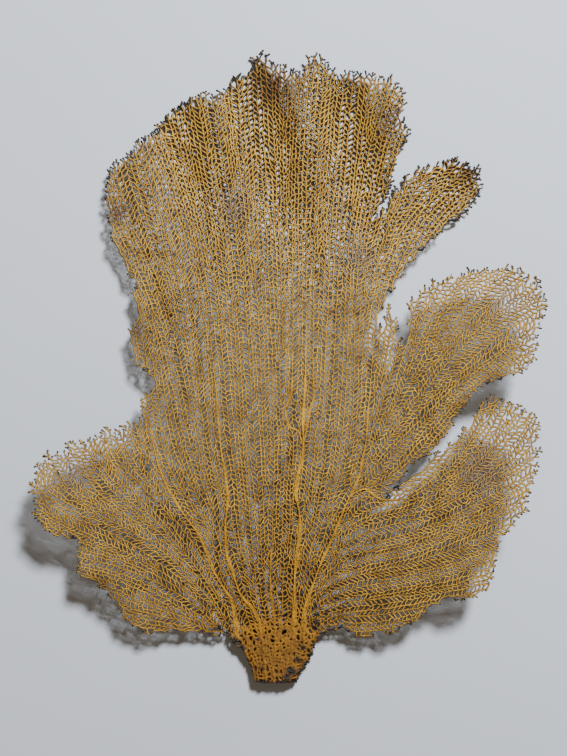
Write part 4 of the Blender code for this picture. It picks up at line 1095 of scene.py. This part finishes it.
# %% How thick and how dark the knots are
THICKENING = 0.4                    # a rib stands out less than it is wide: 1 is as much
UNEVEN = 0.22                       # mm that a thin knot commonly lies over or under the sheet
UNEVEN_BELOW = 0.9                  # half width from which a knot lies in it
FLECKS = 0.014                      # share of the knots where a fleck of the crust has worn off
FLECK_DARK = (0.5, 0.9)             # how bare the horn is there
TIP_DARK = (0.3, 1.0)               # how bare it is on the free tips
TIP_NEXT = 0.35                     # how much of that the next knot has
CROWN_DARK = 0.3                    # how much more both are on the crown


def thickness(half):
    """Half thickness of a strand of that half width."""
    return HALF_THICKNESS * (half / HALF_WIDTH) ** THICKENING


knot_half = {n: max(width(n, other) for other in around[n]) for n in around}
knot_lift = {n: chance.gauss(0, UNEVEN) if knot_half[n] < UNEVEN_BELOW else 0.0
             for n in sorted(around)}
darkness = {n: chance.uniform(*FLECK_DARK) for n in sorted(around) if chance.random() < FLECKS}
for n in sorted(tips & around.keys()):
    crown = zone(knots[n][1], CROWN)
    darkness[n] = chance.uniform(*TIP_DARK) + CROWN_DARK * crown
    share = TIP_NEXT + CROWN_DARK * crown
    for other in around[n]:
        darkness[other] = max(darkness.get(other, 0.0), share * darkness[n])
print(len(darkness), "dark knots")


# %% The cage
TIP_POINT = 0.7                     # how far a tip's point stands out, in half widths
TIP_TAPER = 0.95                    # how thick a tip's end is, as a share of its strand
NOSE = 1.1                          # how far a strand runs on into the next blade's knot
NOSE_DRAWN = 0.35                   # how much narrower it is there
NOSE_THICKNESS = 0.65               # how thick it is there


class Cage:
    """The mesh of one blade: plan points, how far they stand out, and faces."""

    def __init__(self):
        self.points, self.out, self.lift, self.dark, self.faces = [], [], [], [], []
        self.known = {}

    def point(self, key, p, out, knot):
        """The number of a cage point, which is made when it is first asked for."""
        if key not in self.known:
            self.known[key] = len(self.points)
            self.points.append(p)
            self.out.append(out)
            self.lift.append(knot_lift.get(knot, 0.0))
            self.dark.append(darkness.get(knot, 0.0))
        return self.known[key]

    def spine(self, n):
        """The upper and lower cage point of a knot."""
        out = thickness(knot_half[n]) * (TIP_TAPER if n in tips or n in buds else 1.0)
        return self.point(("top", n), knots[n], out, n), self.point(("low", n), knots[n], -out, n)

    def rim(self, p, n):
        """A cage point at the side of a knot."""
        wide = TIP_TAPER if n in tips or n in buds else 1.0
        x, y = knots[n]
        return self.point(("rim", n, p), (x + (p[0] - x) * wide, y + (p[1] - y) * wide), 0.0, n)

    def bar(self, a, b):
        """The upper and the lower face on the left of the strand piece from a to b."""
        (top_a, low_a), (top_b, low_b) = self.spine(a), self.spine(b)
        rim_a, rim_b = self.rim(start_rims[(a, b)], a), self.rim(end_rims[(a, b)], b)
        self.faces += [(top_a, top_b, rim_b, rim_a), (rim_a, rim_b, low_b, low_a)]

    def close_gap(self, n, first, last):
        """Closes a knot between the strand piece to first and the next one round, to last."""
        top, low = self.spine(n)
        rim_first = self.rim(start_rims[(n, first)], n)
        rim_last = self.rim(end_rims[(last, n)], n)
        ring = [top, rim_first, low, rim_last]
        if first == last:
            length = max(math.dist(knots[first], knots[n]), TINY)
            x, y = ((knots[n][k] - knots[first][k]) / length for k in (0, 1))
            if len(around[n]) == 1:
                reach = knot_half[n] * TIP_POINT
                point = self.point(("tip", n), (knots[n][0] + x * reach, knots[n][1] + y * reach),
                                   0.0, n)
                self.faces += [(a, b, point) for a, b in zip(ring, ring[1:] + ring[:1])]
                return
            reach = knot_half[n] * NOSE
            further = []
            for k in ring:
                px, py = self.points[k]
                px += (knots[n][0] - px) * NOSE_DRAWN
                py += (knots[n][1] - py) * NOSE_DRAWN
                further.append(self.point(("nose", n, first, k), (px + x * reach, py + y * reach),
                                          self.out[k] * NOSE_THICKNESS, n))
            pairs = list(zip(ring, further))
            self.faces += [(a, c, d, b) for (a, b), (c, d) in zip(pairs, pairs[1:] + pairs[:1])]
            ring = further
        self.faces.append(tuple(ring))


cages = {}
for name, edges in sorted(blades.items()):
    cage = Cage()
    here = {}
    for a, b in edges:
        here.setdefault(a, set()).add(b)
        here.setdefault(b, set()).add(a)
    for n in sorted(here):
        for other in around[n]:
            if other in here[n]:
                cage.bar(n, other)
        ring = around[n]
        for k, first in enumerate(ring):
            if first in here[n] and ring[(k + 1) % len(ring)] not in here[n] or len(ring) == 1:
                step = 1
                while ring[(k + step) % len(ring)] not in here[n]:
                    step += 1
                cage.close_gap(n, first, ring[(k + step) % len(ring)])
    cages[name] = cage
    print(name, len(cage.points), "points,", len(cage.faces), "faces")

# %% [markdown]
# ## Ageing, and a patch of painted shade
# The crust was bright ochre in life and keeps an orange tone near the stem. It is browner in
# patches, and the largest of them, on the crown, is painted shade where the sheet curls back. It has
# greyed in a few, and the free tips have lost their crust: what shows there is the black horny core.
# These are kept as attributes of the mesh, so that the material can use them on any strand,
# whichever way it runs.

# %% Patches of age, and one of painted shade
# Each patch is a place in the picture and its radius, in pixels.
# The first brown patch, the largest, is painted shade where the crown curls back; the others make the
# crust browner in smaller patches.
BROWN_AND_FOLD_SHADE_PATCHES = [(276, 85, 30), (262, 60, 16), (355, 70, 20), (398, 120, 18), (470, 175, 16),
                 (118, 215, 14), (136, 330, 12), (100, 600, 20), (520, 395, 12)]
GREY_PATCHES = [(230, 205, 16), (357, 258, 15), (480, 470, 20), (70, 470, 16), (505, 300, 16)]
TORN_EDGES = [(316, 606, 3), (317, 614, 3), (316, 621, 3.5), (315, 628, 3.5), (327, 611, 2.5),
              (390, 636, 5), (401, 631, 6), (412, 625, 5), (455, 601, 5), (465, 601, 6),
              (475, 601, 5), (331, 630, 6), (341, 628, 5), (220, 627, 4), (227, 634, 5),
              (235, 642, 5.5), (242, 648, 4.5), (388, 496, 5), (397, 487, 5), (405, 478, 4)]
WARM_REACH = 85.0                   # mm from the palm over which the orange fades


def patches(points, spots):
    """How far each point is in one of the patches, from 0 to 1."""
    share = np.zeros(len(points))
    for x, y, radius in spots:
        centre = plan([(x, y)])[0]
        gaps = np.hypot(points[:, 0] - centre[0], points[:, 1] - centre[1])
        share = np.maximum(share, np.exp(-(gaps / (radius * MM_PER_PIXEL)) ** 2))
    return share


def near_palm(points):
    """How near to the palm each point is, from 0 to 1."""
    gaps = np.hypot(points[:, 0] - PALM_MIDDLE[0], points[:, 1] - PALM_MIDDLE[1])
    return np.exp(-(gaps / WARM_REACH) ** 2)


def age(mesh, points, dark, warmth):
    """Writes the age of the crust at each point, with the painted fold shade among the brown patches,
    as attributes of the mesh.
    """
    values = {"bare": np.maximum(dark, patches(points, TORN_EDGES)),
              "warmth": warmth,
              "browning_and_fold_shade": patches(points, BROWN_AND_FOLD_SHADE_PATCHES),
              "greying": patches(points, GREY_PATCHES)}
    for name, value in values.items():
        mesh.attributes.new(name, "FLOAT", "POINT").data.foreach_set("value", value)


print(len(BROWN_AND_FOLD_SHADE_PATCHES), "brown and", len(GREY_PATCHES), "grey patches")

# %% From cages to blades
def alone(piece):
    """Selects one object and nothing else."""
    bpy.ops.object.select_all(action="DESELECT")
    piece.select_set(True)
    bpy.context.view_layer.objects.active = piece


def plan_places(mesh):
    """The plan places of a mesh's points."""
    where = np.empty(len(mesh.vertices) * 3)
    mesh.vertices.foreach_get("co", where)
    where = where.reshape(-1, 3) / METRES
    return (where[:, :2] + MIDDLE) / (1 - where[:, 2:] / VIEW_HEIGHT)


def blade_piece(name, cage):
    """The finished mesh of one blade."""
    points = np.array(cage.points)
    mesh = bpy.data.meshes.new(name + "_net")
    mesh.from_pydata(place(points, np.array(cage.out), np.array(cage.lift)).tolist(), [], cage.faces)
    age(mesh, points, np.array(cage.dark), near_palm(points))
    piece = bpy.data.objects.new(name + "_net", mesh)
    bpy.context.scene.collection.objects.link(piece)
    return piece


# %% The ribs
RIB_POINT = 2.0                     # mm between the rings of a rib
RIB_GOLD = 0.7                      # its orange tone at the least
RIB_THINNEST = 0.96                 # half width at which a rib is lost in the net
PALM_KNOTS = 10                     # knots by which it runs on into the palm
RIB_CORE = 0.52                     # its core's radius, as a share of its half width
RIB_STRANDS = 5                     # strands fused along it
RIB_STRAND = 0.34                   # their radius, as a share of its half width
RIB_SPREAD = 0.62                   # how far they lie from its middle
RIB_KNOBS = 0.12                    # how much their thickness varies
RIB_WINDING = (0.21, 0.8)           # radians to the next ring, and how far they wind round it
WELD = 0.000002                     # metres: closes the ends of the tubes


def rib_course(line):
    """The relaxed knots of a rib from the palm on, with its half width at each."""
    course = []
    for k, n in sorted(joints[line].items()):
        thick_enough = home[n] in around and halves[line][k] > RIB_THINNEST
        if thick_enough and home[n] not in [m for m, _ in course]:
            course.append((home[n], halves[line][k] * stoutness(knots[home[n]])))
    while len(course) > PALM_KNOTS and knot_blade[course[PALM_KNOTS][0]] == "holdfast":
        course.pop(0)
    return course


def tube_curve(name):
    """An empty curve for round, closed tubes, with radii in millimetres."""
    curves = bpy.data.curves.new(name, "CURVE")
    curves.dimensions = "3D"
    curves.bevel_depth, curves.bevel_resolution = METRES, 2
    curves.use_fill_caps = True
    return curves


def add_tube(curves, where, radii):
    """Adds a tube through places in metres, with a radius at each."""
    spline = curves.splines.new("POLY")
    spline.points.add(len(where) - 1)
    spline.points.foreach_set("co", np.hstack([where, np.ones((len(where), 1))]).ravel())
    spline.points.foreach_set("radius", radii)


def rib_tubes(course, curves):
    """Adds a rib to a bevelled curve, as a core with strands that wander along it."""
    line = np.array(curve([knots[n] for n, _ in course], RIB_POINT))
    half = np.interp(np.linspace(0, 1, len(line)), np.linspace(0, 1, len(course)),
                     [half for _, half in course])
    ways = np.gradient(line, axis=0)
    ways /= np.linalg.norm(ways, axis=1)[:, None]
    winding, amount = RIB_WINDING
    for part in range(RIB_STRANDS + 1):
        spread = RIB_SPREAD * half if part else 0.0 * half
        wander = np.sin(np.arange(len(line)) * winding + part * 10 * winding)
        turn = 2 * math.pi * part / RIB_STRANDS + amount * wander
        across, out = spread * np.cos(turn), spread * np.sin(turn)
        places = line + across[:, None] * np.stack([-ways[:, 1], ways[:, 0]], axis=1)
        size = RIB_STRAND if part else RIB_CORE
        add_tube(curves, place(places, out),
                 [size * h * (1 + chance.gauss(0, RIB_KNOBS)) for h in half])


rib_curves = {}
for line in rib_lines:
    course = rib_course(line)
    owners = [knot_blade[n] for n, _ in course if knot_blade[n] != "holdfast"]
    owner = max(sorted(set(owners)), key=owners.count)
    if owner not in rib_curves:
        rib_curves[owner] = tube_curve(owner + "_ribs")
    rib_tubes(course, rib_curves[owner])
print("ribs on", sorted(rib_curves))


def add_ribs(piece, curves):
    """Joins the ribs of a blade to its net."""
    ribs = bpy.data.objects.new(curves.name, curves)
    bpy.context.scene.collection.objects.link(ribs)
    alone(ribs)
    bpy.ops.object.convert(target="MESH")
    bpy.ops.object.mode_set(mode="EDIT")
    bpy.ops.mesh.select_all(action="SELECT")
    bpy.ops.mesh.remove_doubles(threshold=WELD)
    bpy.ops.object.mode_set(mode="OBJECT")
    places = plan_places(ribs.data)
    age(ribs.data, places, np.zeros(len(places)), np.maximum(near_palm(places), RIB_GOLD))
    piece.select_set(True)
    bpy.context.view_layer.objects.active = piece
    bpy.ops.object.join()


def mark_sides(mesh):
    """Writes how steep the surface is at each point, from 0 on top to 1 at the sides, which the
    material turns into painted shade.
    """
    normals = np.empty(len(mesh.vertices) * 3)
    mesh.vertex_normals.foreach_get("vector", normals)
    mesh.attributes.new("side", "FLOAT", "POINT").data.foreach_set(
        "value", 1 - np.abs(normals[2::3]))


# %% Finish the blades
net_pieces = []
for name, cage in cages.items():
    piece = blade_piece(name, cage)
    if name in rib_curves:
        add_ribs(piece, rib_curves[name])
    alone(piece)
    bpy.ops.object.shade_smooth()
    mark_sides(piece.data)
    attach(piece, "root")
    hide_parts(name)
    net_pieces.append(piece)
    print(piece.name, sum(len(face.vertices) - 2 for face in piece.data.polygons), "triangles")

# %% [markdown]
# ## The holdfast
# Towards the stem the strands crowd together and fuse, until only pits show between them. The palm
# and the stem are made the way they grew: a flattened core, every root strand of the net carried
# down over its two faces to the cut, and short bridges between neighbours. A voxel remesh then
# melts them into one skin, as the crust did.

# %% The shape of the core
STEM_HALF_THICKNESS = 6.6           # mm, in the middle of the cut
PALM_HALF_THICKNESS = 1.7           # mm, in the middle of the palm's edge
EDGE_HALF_THICKNESS = 1.2           # mm, along both sides
SECTION = 2.4                       # how full the section is: 2 is an ellipse
THINNING = 1.5                      # how late it thins towards the palm: 1 is evenly
CORE_SHARE = 0.8                    # how thick the core is under the strands
left_side = plan(HOLDFAST_LEFT[::-1])[:-1] + [palm[0]]
right_side = plan(HOLDFAST_RIGHT[::-1])[:-1] + [palm[-1]]


def at_share(line, share):
    """The point at a share of the length of a line."""
    lengths = [math.dist(a, b) for a, b in zip(line, line[1:])]
    left = share * sum(lengths)
    for a, b, length in zip(line, line[1:], lengths):
        if left <= length:
            return a[0] + (b[0] - a[0]) * left / length, a[1] + (b[1] - a[1]) * left / length
        left -= length
    return line[-1]


def on_holdfast(across, up):
    """The plan place across the holdfast and up it, both from 0 to 1, and its half thickness."""
    a, b = at_share(left_side, up), at_share(right_side, up)
    arch, start, end = at_share(palm, across), palm[0], palm[-1]
    swell = up ** 2
    p = (a[0] + (b[0] - a[0]) * across + (arch[0] - start[0] - (end[0] - start[0]) * across) * swell,
         a[1] + (b[1] - a[1]) * across + (arch[1] - start[1] - (end[1] - start[1]) * across) * swell)
    rounding = max(1 - abs(2 * across - 1) ** SECTION, 0.0) ** (1 / SECTION)
    thin = up ** THINNING
    middle = STEM_HALF_THICKNESS * (1 - thin) + PALM_HALF_THICKNESS * thin
    return p, EDGE_HALF_THICKNESS + (middle - EDGE_HALF_THICKNESS) * rounding


print("stem", round(math.dist(left_side[0], right_side[0]), 1), "mm wide at the cut")

# %% The core
CORE_COLUMNS, CORE_ROWS = 30, 24
CORE_TOP = 0.52                     # the core ends where the strands part and the net opens
CORE_INSET = 0.03                   # share of the width that it stays inside each side

bpy.ops.object.select_all(action="DESELECT")
bpy.ops.mesh.primitive_grid_add(x_subdivisions=CORE_COLUMNS, y_subdivisions=CORE_ROWS, size=1)
core = bpy.context.object
core.name = "holdfast_crust"
grid = [(vertex.co.x + 0.5, vertex.co.y + 0.5) for vertex in core.data.vertices]
spread = [on_holdfast(CORE_INSET + (1 - 2 * CORE_INSET) * across, up * CORE_TOP)
          for across, up in grid]
half = np.array([thick * CORE_SHARE for _, thick in spread])
centre = np.array([p for p, _ in spread])
upper, lower = place(centre, half), place(centre, -half)
bpy.ops.object.mode_set(mode="EDIT")
bpy.ops.mesh.select_all(action="SELECT")
bpy.ops.mesh.extrude_region_move()
bpy.ops.object.mode_set(mode="OBJECT")
raised = [vertex.select for vertex in core.data.vertices]
flat_points = [tuple(vertex.co) for vertex in core.data.vertices]
number = {(round(x, 5), round(y, 5)): k for k, (x, y) in enumerate(
    (across - 0.5, up - 0.5) for across, up in grid)}
for vertex, chosen, (x, y, _) in zip(core.data.vertices, raised, flat_points):
    k = number[(round(x, 5), round(y, 5))]
    vertex.co = upper[k] if chosen else lower[k]
bpy.ops.object.mode_set(mode="EDIT")
bpy.ops.mesh.select_all(action="SELECT")
bpy.ops.mesh.normals_make_consistent(inside=False)
bpy.ops.object.mode_set(mode="OBJECT")
print("core", len(core.data.polygons), "faces")

# %% Lay the strands of the stem on both faces of the core
EMBED = 0.35                        # how deep they sit in the crust, in mm
RISE = 22.0                         # mm from the palm's edge over which they rise to the faces
PALM_RADIUS = 0.84                  # how round the strands are, as a share of their half width
PALM_RADII = (0.85, 1.15)           # how much that varies
STEM_STOUTEST = 1.5                 # mm, the half width of the thickest
TUBE_STEP = 1.5                     # mm between the points of a strand
palm_line = np.array(palm)


def face_height(p):
    """How far the faces of the holdfast are from its middle at a plan place."""
    gaps = np.hypot(centre[:, 0] - p[0], centre[:, 1] - p[1])
    rise = min(np.hypot(*(palm_line - p).T).min() / RISE, 1.0)
    return max(half[gaps.argmin()] / CORE_SHARE - EMBED, 0.0) * rise


tubes = []
for a, b in stem_edges:
    radius = min(widths[(a, b)], STEM_STOUTEST) * PALM_RADIUS * chance.uniform(*PALM_RADII)
    line = spaced([knots[a], knots[b]], TUBE_STEP)
    for face in (1, -1):
        tubes.append([(p, face * face_height(p), radius) for p in line])
print(len(stem_edges), "strand pieces on each face of the holdfast")

# %% Torn ends on the stem
SHREDS = 30                         # along the right side, and every third one at the cut
SHRED_LENGTH = (0.6, 1.9)           # mm
SHRED_AT_CUT = 0.45                 # how long the ones at the cut are for that
SHRED_PARTS = (0.55, 0.45)          # shares of its length before and after its knee
SHRED_BEND = 0.8                    # radians, the most that it is bent
SHRED_OUT = (-0.5, 0.9)             # mm over the middle of the stem
SHRED_RADII = (0.6, 0.45, 0.3)      # mm, at its foot, its knee and its end
CUT_ACROSS = (0.08, 0.84)           # where on the cut they start, as shares of its width
CUT_HEADING = (-1.57, 0.3)          # radians: downwards, and how much that varies
SIDE_UP = 0.97                      # share of the right side that bears them
SIDE_HEADING = (-0.5, 0.5)          # radians: aslant to the right, and how much that varies


def shred(at_cut):
    """A bent shred that sticks out of the right side or the cut, and the place of its end."""
    share = chance.random()
    if at_cut:
        p, _ = on_holdfast(CUT_ACROSS[0] + share * CUT_ACROSS[1], 0.0)
        heading = chance.gauss(*CUT_HEADING)
    else:
        p, heading = at_share(right_side, share * SIDE_UP), chance.gauss(*SIDE_HEADING)
    length = chance.uniform(*SHRED_LENGTH) * (SHRED_AT_CUT if at_cut else 1)
    out = chance.uniform(*SHRED_OUT)
    turn = heading + chance.uniform(-SHRED_BEND, SHRED_BEND)
    x, y = math.cos(heading), math.sin(heading)
    before, after = SHRED_PARTS
    knee = (p[0] + x * length * before, p[1] + y * length * before)
    end = (knee[0] + math.cos(turn) * length * after, knee[1] + math.sin(turn) * length * after)
    stops = ((p[0] - x, p[1] - y), knee, end)
    return [(stop, out, radius) for stop, radius in zip(stops, SHRED_RADII)], end


shred_ends = []
for k in range(SHREDS):
    tube, end = shred(k % 3 == 0)
    tubes.append(tube)
    shred_ends.append(end)
print(len(shred_ends), "shreds")

# %% One mesh of all of them
LOWEST_MIDDLE = 0.6                 # mm over the surface, the lowest middle of a tube
bpy.ops.object.select_all(action="DESELECT")
bundle = tube_curve("fused_strands")
centres = []
for tube in tubes:
    where = place([p for p, _, _ in tube], np.array([out for _, out, _ in tube]))
    where[:, 2] = np.maximum(where[:, 2], LOWEST_MIDDLE * METRES)
    radii = [radius for _, _, radius in tube]
    add_tube(bundle, where, radii)
    stops = list(zip(where, radii))
    for (a, ra), (b, rb) in zip(stops, stops[1:]):
        centres += [(a + (b - a) * t, ra + (rb - ra) * t) for t in (0.0, 0.34, 0.67)]
bundle_piece = bpy.data.objects.new("fused_strands", bundle)
bpy.context.scene.collection.objects.link(bundle_piece)
alone(bundle_piece)
bpy.ops.object.convert(target="MESH")
print(len(centres), "places along the middles of the tubes")

# %% Melt them into one skin
VOXEL = 0.5                         # mm, fine enough to keep the pits
SOFTENING = (0.5, 2)                # how much, and how often, the steps of the remesh are eased
core.select_set(True)
bpy.context.view_layer.objects.active = core
bpy.ops.object.join()
holdfast = core
holdfast.data.name = "holdfast_crust"
alone(holdfast)
bpy.ops.object.transform_apply(location=True, rotation=True, scale=True)
holdfast.data.remesh_voxel_size = VOXEL * METRES
bpy.ops.object.voxel_remesh()
softening = holdfast.modifiers.new("softening", "SMOOTH")
softening.factor, softening.iterations = SOFTENING
bpy.ops.object.modifier_apply(modifier="softening")
for vertex in holdfast.data.vertices:
    vertex.co.z = max(vertex.co.z, 0.0)
bpy.ops.object.shade_smooth()
print("holdfast", sum(len(face.vertices) - 2 for face in holdfast.data.polygons), "triangles")

# %% Age the holdfast
from mathutils import kdtree

STEM_TONE_DEPTH = 18.0              # mm below the palm's edge where the tone of the stem is full
GROOVE_DEPTH = 0.45                 # mm below the strands at which the painted shade in the grooves is darkest
NEAREST = 8                         # how many middles the depth is taken from
SHRED_BARE = 2.5                    # pixels round a shred's end where the horn shows
BARE_SPOTS = [(303, 648, 3), (297, 659, 3), (291, 671, 5.5), (287, 677, 4), (262, 669, 2),
              (239, 643, 3.5), (229, 637, 3.5), (320, 638, 4.5), (316, 646, 4.5), (312, 655, 5),
              (307, 664, 5), (301, 672, 5), (258, 639, 2), (284, 631, 2), (256, 683, 3),
              (264, 684, 3), (272, 684, 3), (280, 684, 3), (289, 684, 4), (296, 682, 4)]
tree = kdtree.KDTree(len(centres))
for k, (where, _) in enumerate(centres):
    tree.insert(where, k)
tree.balance()
# How deep each point lies below the nearest strand middles: the material paints shade in these grooves
# between the fused strands.
grooves = [min(gap / METRES - centres[k][1] for _, k, gap in tree.find_n(vertex.co, NEAREST))
           for vertex in holdfast.data.vertices]
on_plan = plan_places(holdfast.data)
shreds = [(x / MM_PER_PIXEL + VIEW_AXIS[0], VIEW_AXIS[1] - y / MM_PER_PIXEL, SHRED_BARE)
          for x, y in shred_ends]
below_palm = [min(np.hypot(*(palm_line - p).T).min() / STEM_TONE_DEPTH, 1.0) for p in on_plan]
age(holdfast.data, on_plan, patches(on_plan, BARE_SPOTS + shreds), below_palm)
holdfast.data.attributes.new("groove", "FLOAT", "POINT").data.foreach_set(
    "value", np.clip(np.array(grooves) / GROOVE_DEPTH, 0.0, 1.0))
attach(holdfast, "root")
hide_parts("holdfast")
print("grooves", np.percentile(grooves, [5, 50, 95]).round(2))

# %% [markdown]
# ## Materials
# Gorgonin, the horny stuff of the fan, is brown to black and a little glossy. Over it lies a thin
# dried crust of lime grains, ochre and matt, which gives the fan its colour. The crust hides the
# horn except where it has worn off, on the tips and along torn edges. The material also paints
# shade on the steep sides of the strands and in the grooves of the stem, and the largest brown
# patch, on the crown, is painted shade where the sheet curls back.

# %% Colours and nodes
def colour(code):
    """A linear colour from its sRGB hex code."""
    parts = [int(code[k:k + 2], 16) / 255 for k in (1, 3, 5)]
    return [p / 12.92 if p <= 0.04045 else ((p + 0.055) / 1.055) ** 2.4 for p in parts] + [1.0]


def add(tree, kind, values=None, **settings):
    """Adds a node with its settings, and a value or a link for each of the inputs named."""
    node = tree.nodes.new("ShaderNode" + kind)
    for name, value in settings.items():
        setattr(node, name, value)
    for socket, value in (values or {}).items():
        if isinstance(value, bpy.types.NodeSocket):
            tree.links.new(value, node.inputs[socket])
        else:
            node.inputs[socket].default_value = value
    return node


def new_material(name):
    """A new material, with its node tree and its shader."""
    material = bpy.data.materials.new(name)
    material.use_nodes = True
    return material, material.node_tree, material.node_tree.nodes["Principled BSDF"]


FACTOR, COLOUR_A, COLOUR_B, MIXED = 0, 6, 7, 2      # sockets of a Mix node for colours
NET_TONES = ("#e4b440", "#92660e", "#ca9216", "#7e5204")    # light, dark, and both where warm
STEM_TONES = ("#a87408", "#664204", "#8e5f06", "#503402")
BROWN_AND_FOLD_SHADE, GREYED, HORN = "#54300f", "#7f6c62", "#120a06"
print("ochre", [round(c, 3) for c in colour(NET_TONES[0])])

# %% The crust of the net
MOTTLING = 1 / 0.011                # the crust's shade wanders over about 11 mm
CLOTS = 1 / 0.0013                  # clots of grains, about 1.3 mm, coarser than life to show
SPICULES = 1 / 0.0005               # the grains themselves


def crust(name, tones, painted_shade_attribute, painted_shade_tone, painted_shade_range):
    """The dried lime crust over black horn, with painted shade where the given attribute is high: the
    steep sides of the strands, or the stem's grooves.

    The last argument gives the attribute's values where the painted shade starts and where it is full."""
    light, dark, warm_light, warm_dark = (colour(code) for code in tones)
    material, tree, shader = new_material(name)
    here = add(tree, "TexCoord").outputs["Object"]
    warmth, browning_and_fold_shade, greying, bare, painted_shade = (
        add(tree, "Attribute", attribute_name=kept).outputs["Fac"]
        for kept in ("warmth", "browning_and_fold_shade", "greying", "bare", painted_shade_attribute))

    mottle = add(tree, "TexNoise", {"Vector": here, "Scale": MOTTLING, "Detail": 3.0})
    mottle = add(tree, "MapRange", {"Value": mottle.outputs["Fac"], "From Min": 0.36,
                                    "From Max": 0.64}).outputs["Result"]
    clots = add(tree, "TexNoise", {"Vector": here, "Scale": CLOTS, "Detail": 2.0})
    clots = add(tree, "MapRange", {"Value": clots.outputs["Fac"], "From Min": 0.38,
                                   "From Max": 0.66}).outputs["Result"]
    shade = add(tree, "Math", {0: mottle, 1: clots}, operation="ADD")
    shade = add(tree, "Math", {0: shade.outputs[0], 1: 0.5}, operation="MULTIPLY").outputs[0]

    cool = add(tree, "Mix", {FACTOR: shade, COLOUR_A: light, COLOUR_B: dark}, data_type="RGBA")
    warm = add(tree, "Mix", {FACTOR: shade, COLOUR_A: warm_light, COLOUR_B: warm_dark},
               data_type="RGBA")
    tone = add(tree, "Mix", {FACTOR: warmth, COLOUR_A: cool.outputs[MIXED],
                             COLOUR_B: warm.outputs[MIXED]}, data_type="RGBA")
    # The brown patches are mixed in at 0.8; the largest of them is painted shade on the crown's curled
    # fold.
    brown = add(tree, "Math", {0: browning_and_fold_shade, 1: 0.8}, operation="MULTIPLY").outputs[0]
    grey = add(tree, "Math", {0: greying, 1: 0.5}, operation="MULTIPLY").outputs[0]
    # Painted shade from the attribute passed in, up to 0.95 of the way to its dark tone.
    painted_shade = add(tree, "MapRange", {"Value": painted_shade, "From Min": painted_shade_range[0],
                                  "From Max": painted_shade_range[1], "To Max": 0.95}).outputs["Result"]
    ragged = add(tree, "Math", {0: clots, 1: 0.35, 2: bare}, operation="MULTIPLY_ADD").outputs[0]
    worn = add(tree, "MapRange", {"Value": ragged, "From Min": 0.4,
                                  "From Max": 0.9}).outputs["Result"]
    for share, over in ((brown, BROWN_AND_FOLD_SHADE), (grey, GREYED), (painted_shade, painted_shade_tone), (worn, HORN)):
        tone = add(tree, "Mix", {FACTOR: share, COLOUR_A: tone.outputs[MIXED],
                                 COLOUR_B: colour(over)}, data_type="RGBA")
    tree.links.new(tone.outputs[MIXED], shader.inputs["Base Color"])
    rough = add(tree, "MapRange", {"Value": worn, "To Min": 0.85, "To Max": 0.65})
    tree.links.new(rough.outputs["Result"], shader.inputs["Roughness"])

    spicules = add(tree, "TexNoise", {"Vector": here, "Scale": SPICULES, "Detail": 1.0})
    height = add(tree, "Math", {0: clots, 1: spicules.outputs["Fac"]}, operation="ADD").outputs[0]
    bump = add(tree, "Bump", {"Height": height, "Distance": 0.00025, "Strength": 0.6})
    tree.links.new(bump.outputs["Normal"], shader.inputs["Normal"])
    return material


# Painted shade: the net darkens on the steep sides of its strands, the stem in the grooves between its
# fused strands.
net_crust = crust("dried_lime_crust", NET_TONES, "side", "#321a05", (0.12, 0.6))
stem_crust = crust("fused_stem_crust", STEM_TONES, "groove", "#371a05", (0.0, 0.6))
for piece, material in [(piece, net_crust) for piece in net_pieces] + [(holdfast, stem_crust)]:
    piece.data.materials.clear()
    piece.data.materials.append(material)
print("materials", [material.name for material in (net_crust, stem_crust)])

# %% [markdown]
# ## Stage, light and camera
# The fan lies on a plain pale floor of matt paper, which shows no shine and only faint clouds of
# tone. The light is one soft lamp from the upper right, about 45 degrees over the floor, with a
# weak, warmer fill that keeps the shaded side of the strands brown. The eye is straight above.

# %% Floor
bpy.ops.object.select_all(action="DESELECT")
bpy.ops.mesh.primitive_plane_add(size=8.0)
floor = bpy.context.object
floor.name = "floor"
paper, tree, shader = new_material("matt_paper")
grain = add(tree, "TexNoise", {"Vector": add(tree, "TexCoord").outputs["Object"],
                               "Scale": 6.0, "Detail": 2.0}).outputs["Fac"]
tone = add(tree, "Mix", {FACTOR: grain, COLOUR_A: colour("#c1c8d3"), COLOUR_B: colour("#c7ced8")},
           data_type="RGBA").outputs[MIXED]
tree.links.new(tone, shader.inputs["Base Color"])
shader.inputs["Roughness"].default_value = 0.9
floor.data.materials.append(paper)
print("floor", tuple(round(side, 1) for side in floor.dimensions), "m")

# %% Light
def soft_light(name, direction, distance, size, power, tint):
    """A square lamp that points at the fan from the given direction."""
    lamp = bpy.data.lights.new(name, "AREA")
    lamp.size, lamp.energy, lamp.color = size, power, colour(tint)[:3]
    made = bpy.data.objects.new(name, lamp)
    bpy.context.scene.collection.objects.link(made)
    x, y, z = direction
    length = math.sqrt(x * x + y * y + z * z)
    made.location = (x / length * distance, y / length * distance, z / length * distance)
    made.rotation_euler = made.location.to_track_quat("Z", "Y").to_euler()


soft_light("key", (0.36, 0.68, 0.79), 2.2, 0.35, 113.0, "#fbfdff")
soft_light("fill", (-0.5, -0.3, 1.0), 2.5, 2.0, 4.0, "#fff0dc")
world = bpy.data.worlds.new("studio")
world.use_nodes = True
world.node_tree.nodes["Background"].inputs["Color"].default_value = colour("#ffe2bc")
world.node_tree.nodes["Background"].inputs["Strength"].default_value = 0.13
bpy.context.scene.world = world
print("lamps", [lamp.name for lamp in bpy.data.lights])

# %% Camera
lens = bpy.data.cameras.new("eye")
lens.lens, lens.sensor_width = 50.0, 36.0
camera = bpy.data.objects.new("eye", lens)
bpy.context.scene.collection.objects.link(camera)
camera.location = (-MIDDLE[0] * METRES, -MIDDLE[1] * METRES, VIEW_HEIGHT * METRES)
bpy.context.scene.camera = camera
print("field", round(lens.sensor_width / lens.lens * VIEW_HEIGHT / MM_PER_PIXEL), "pixels high")
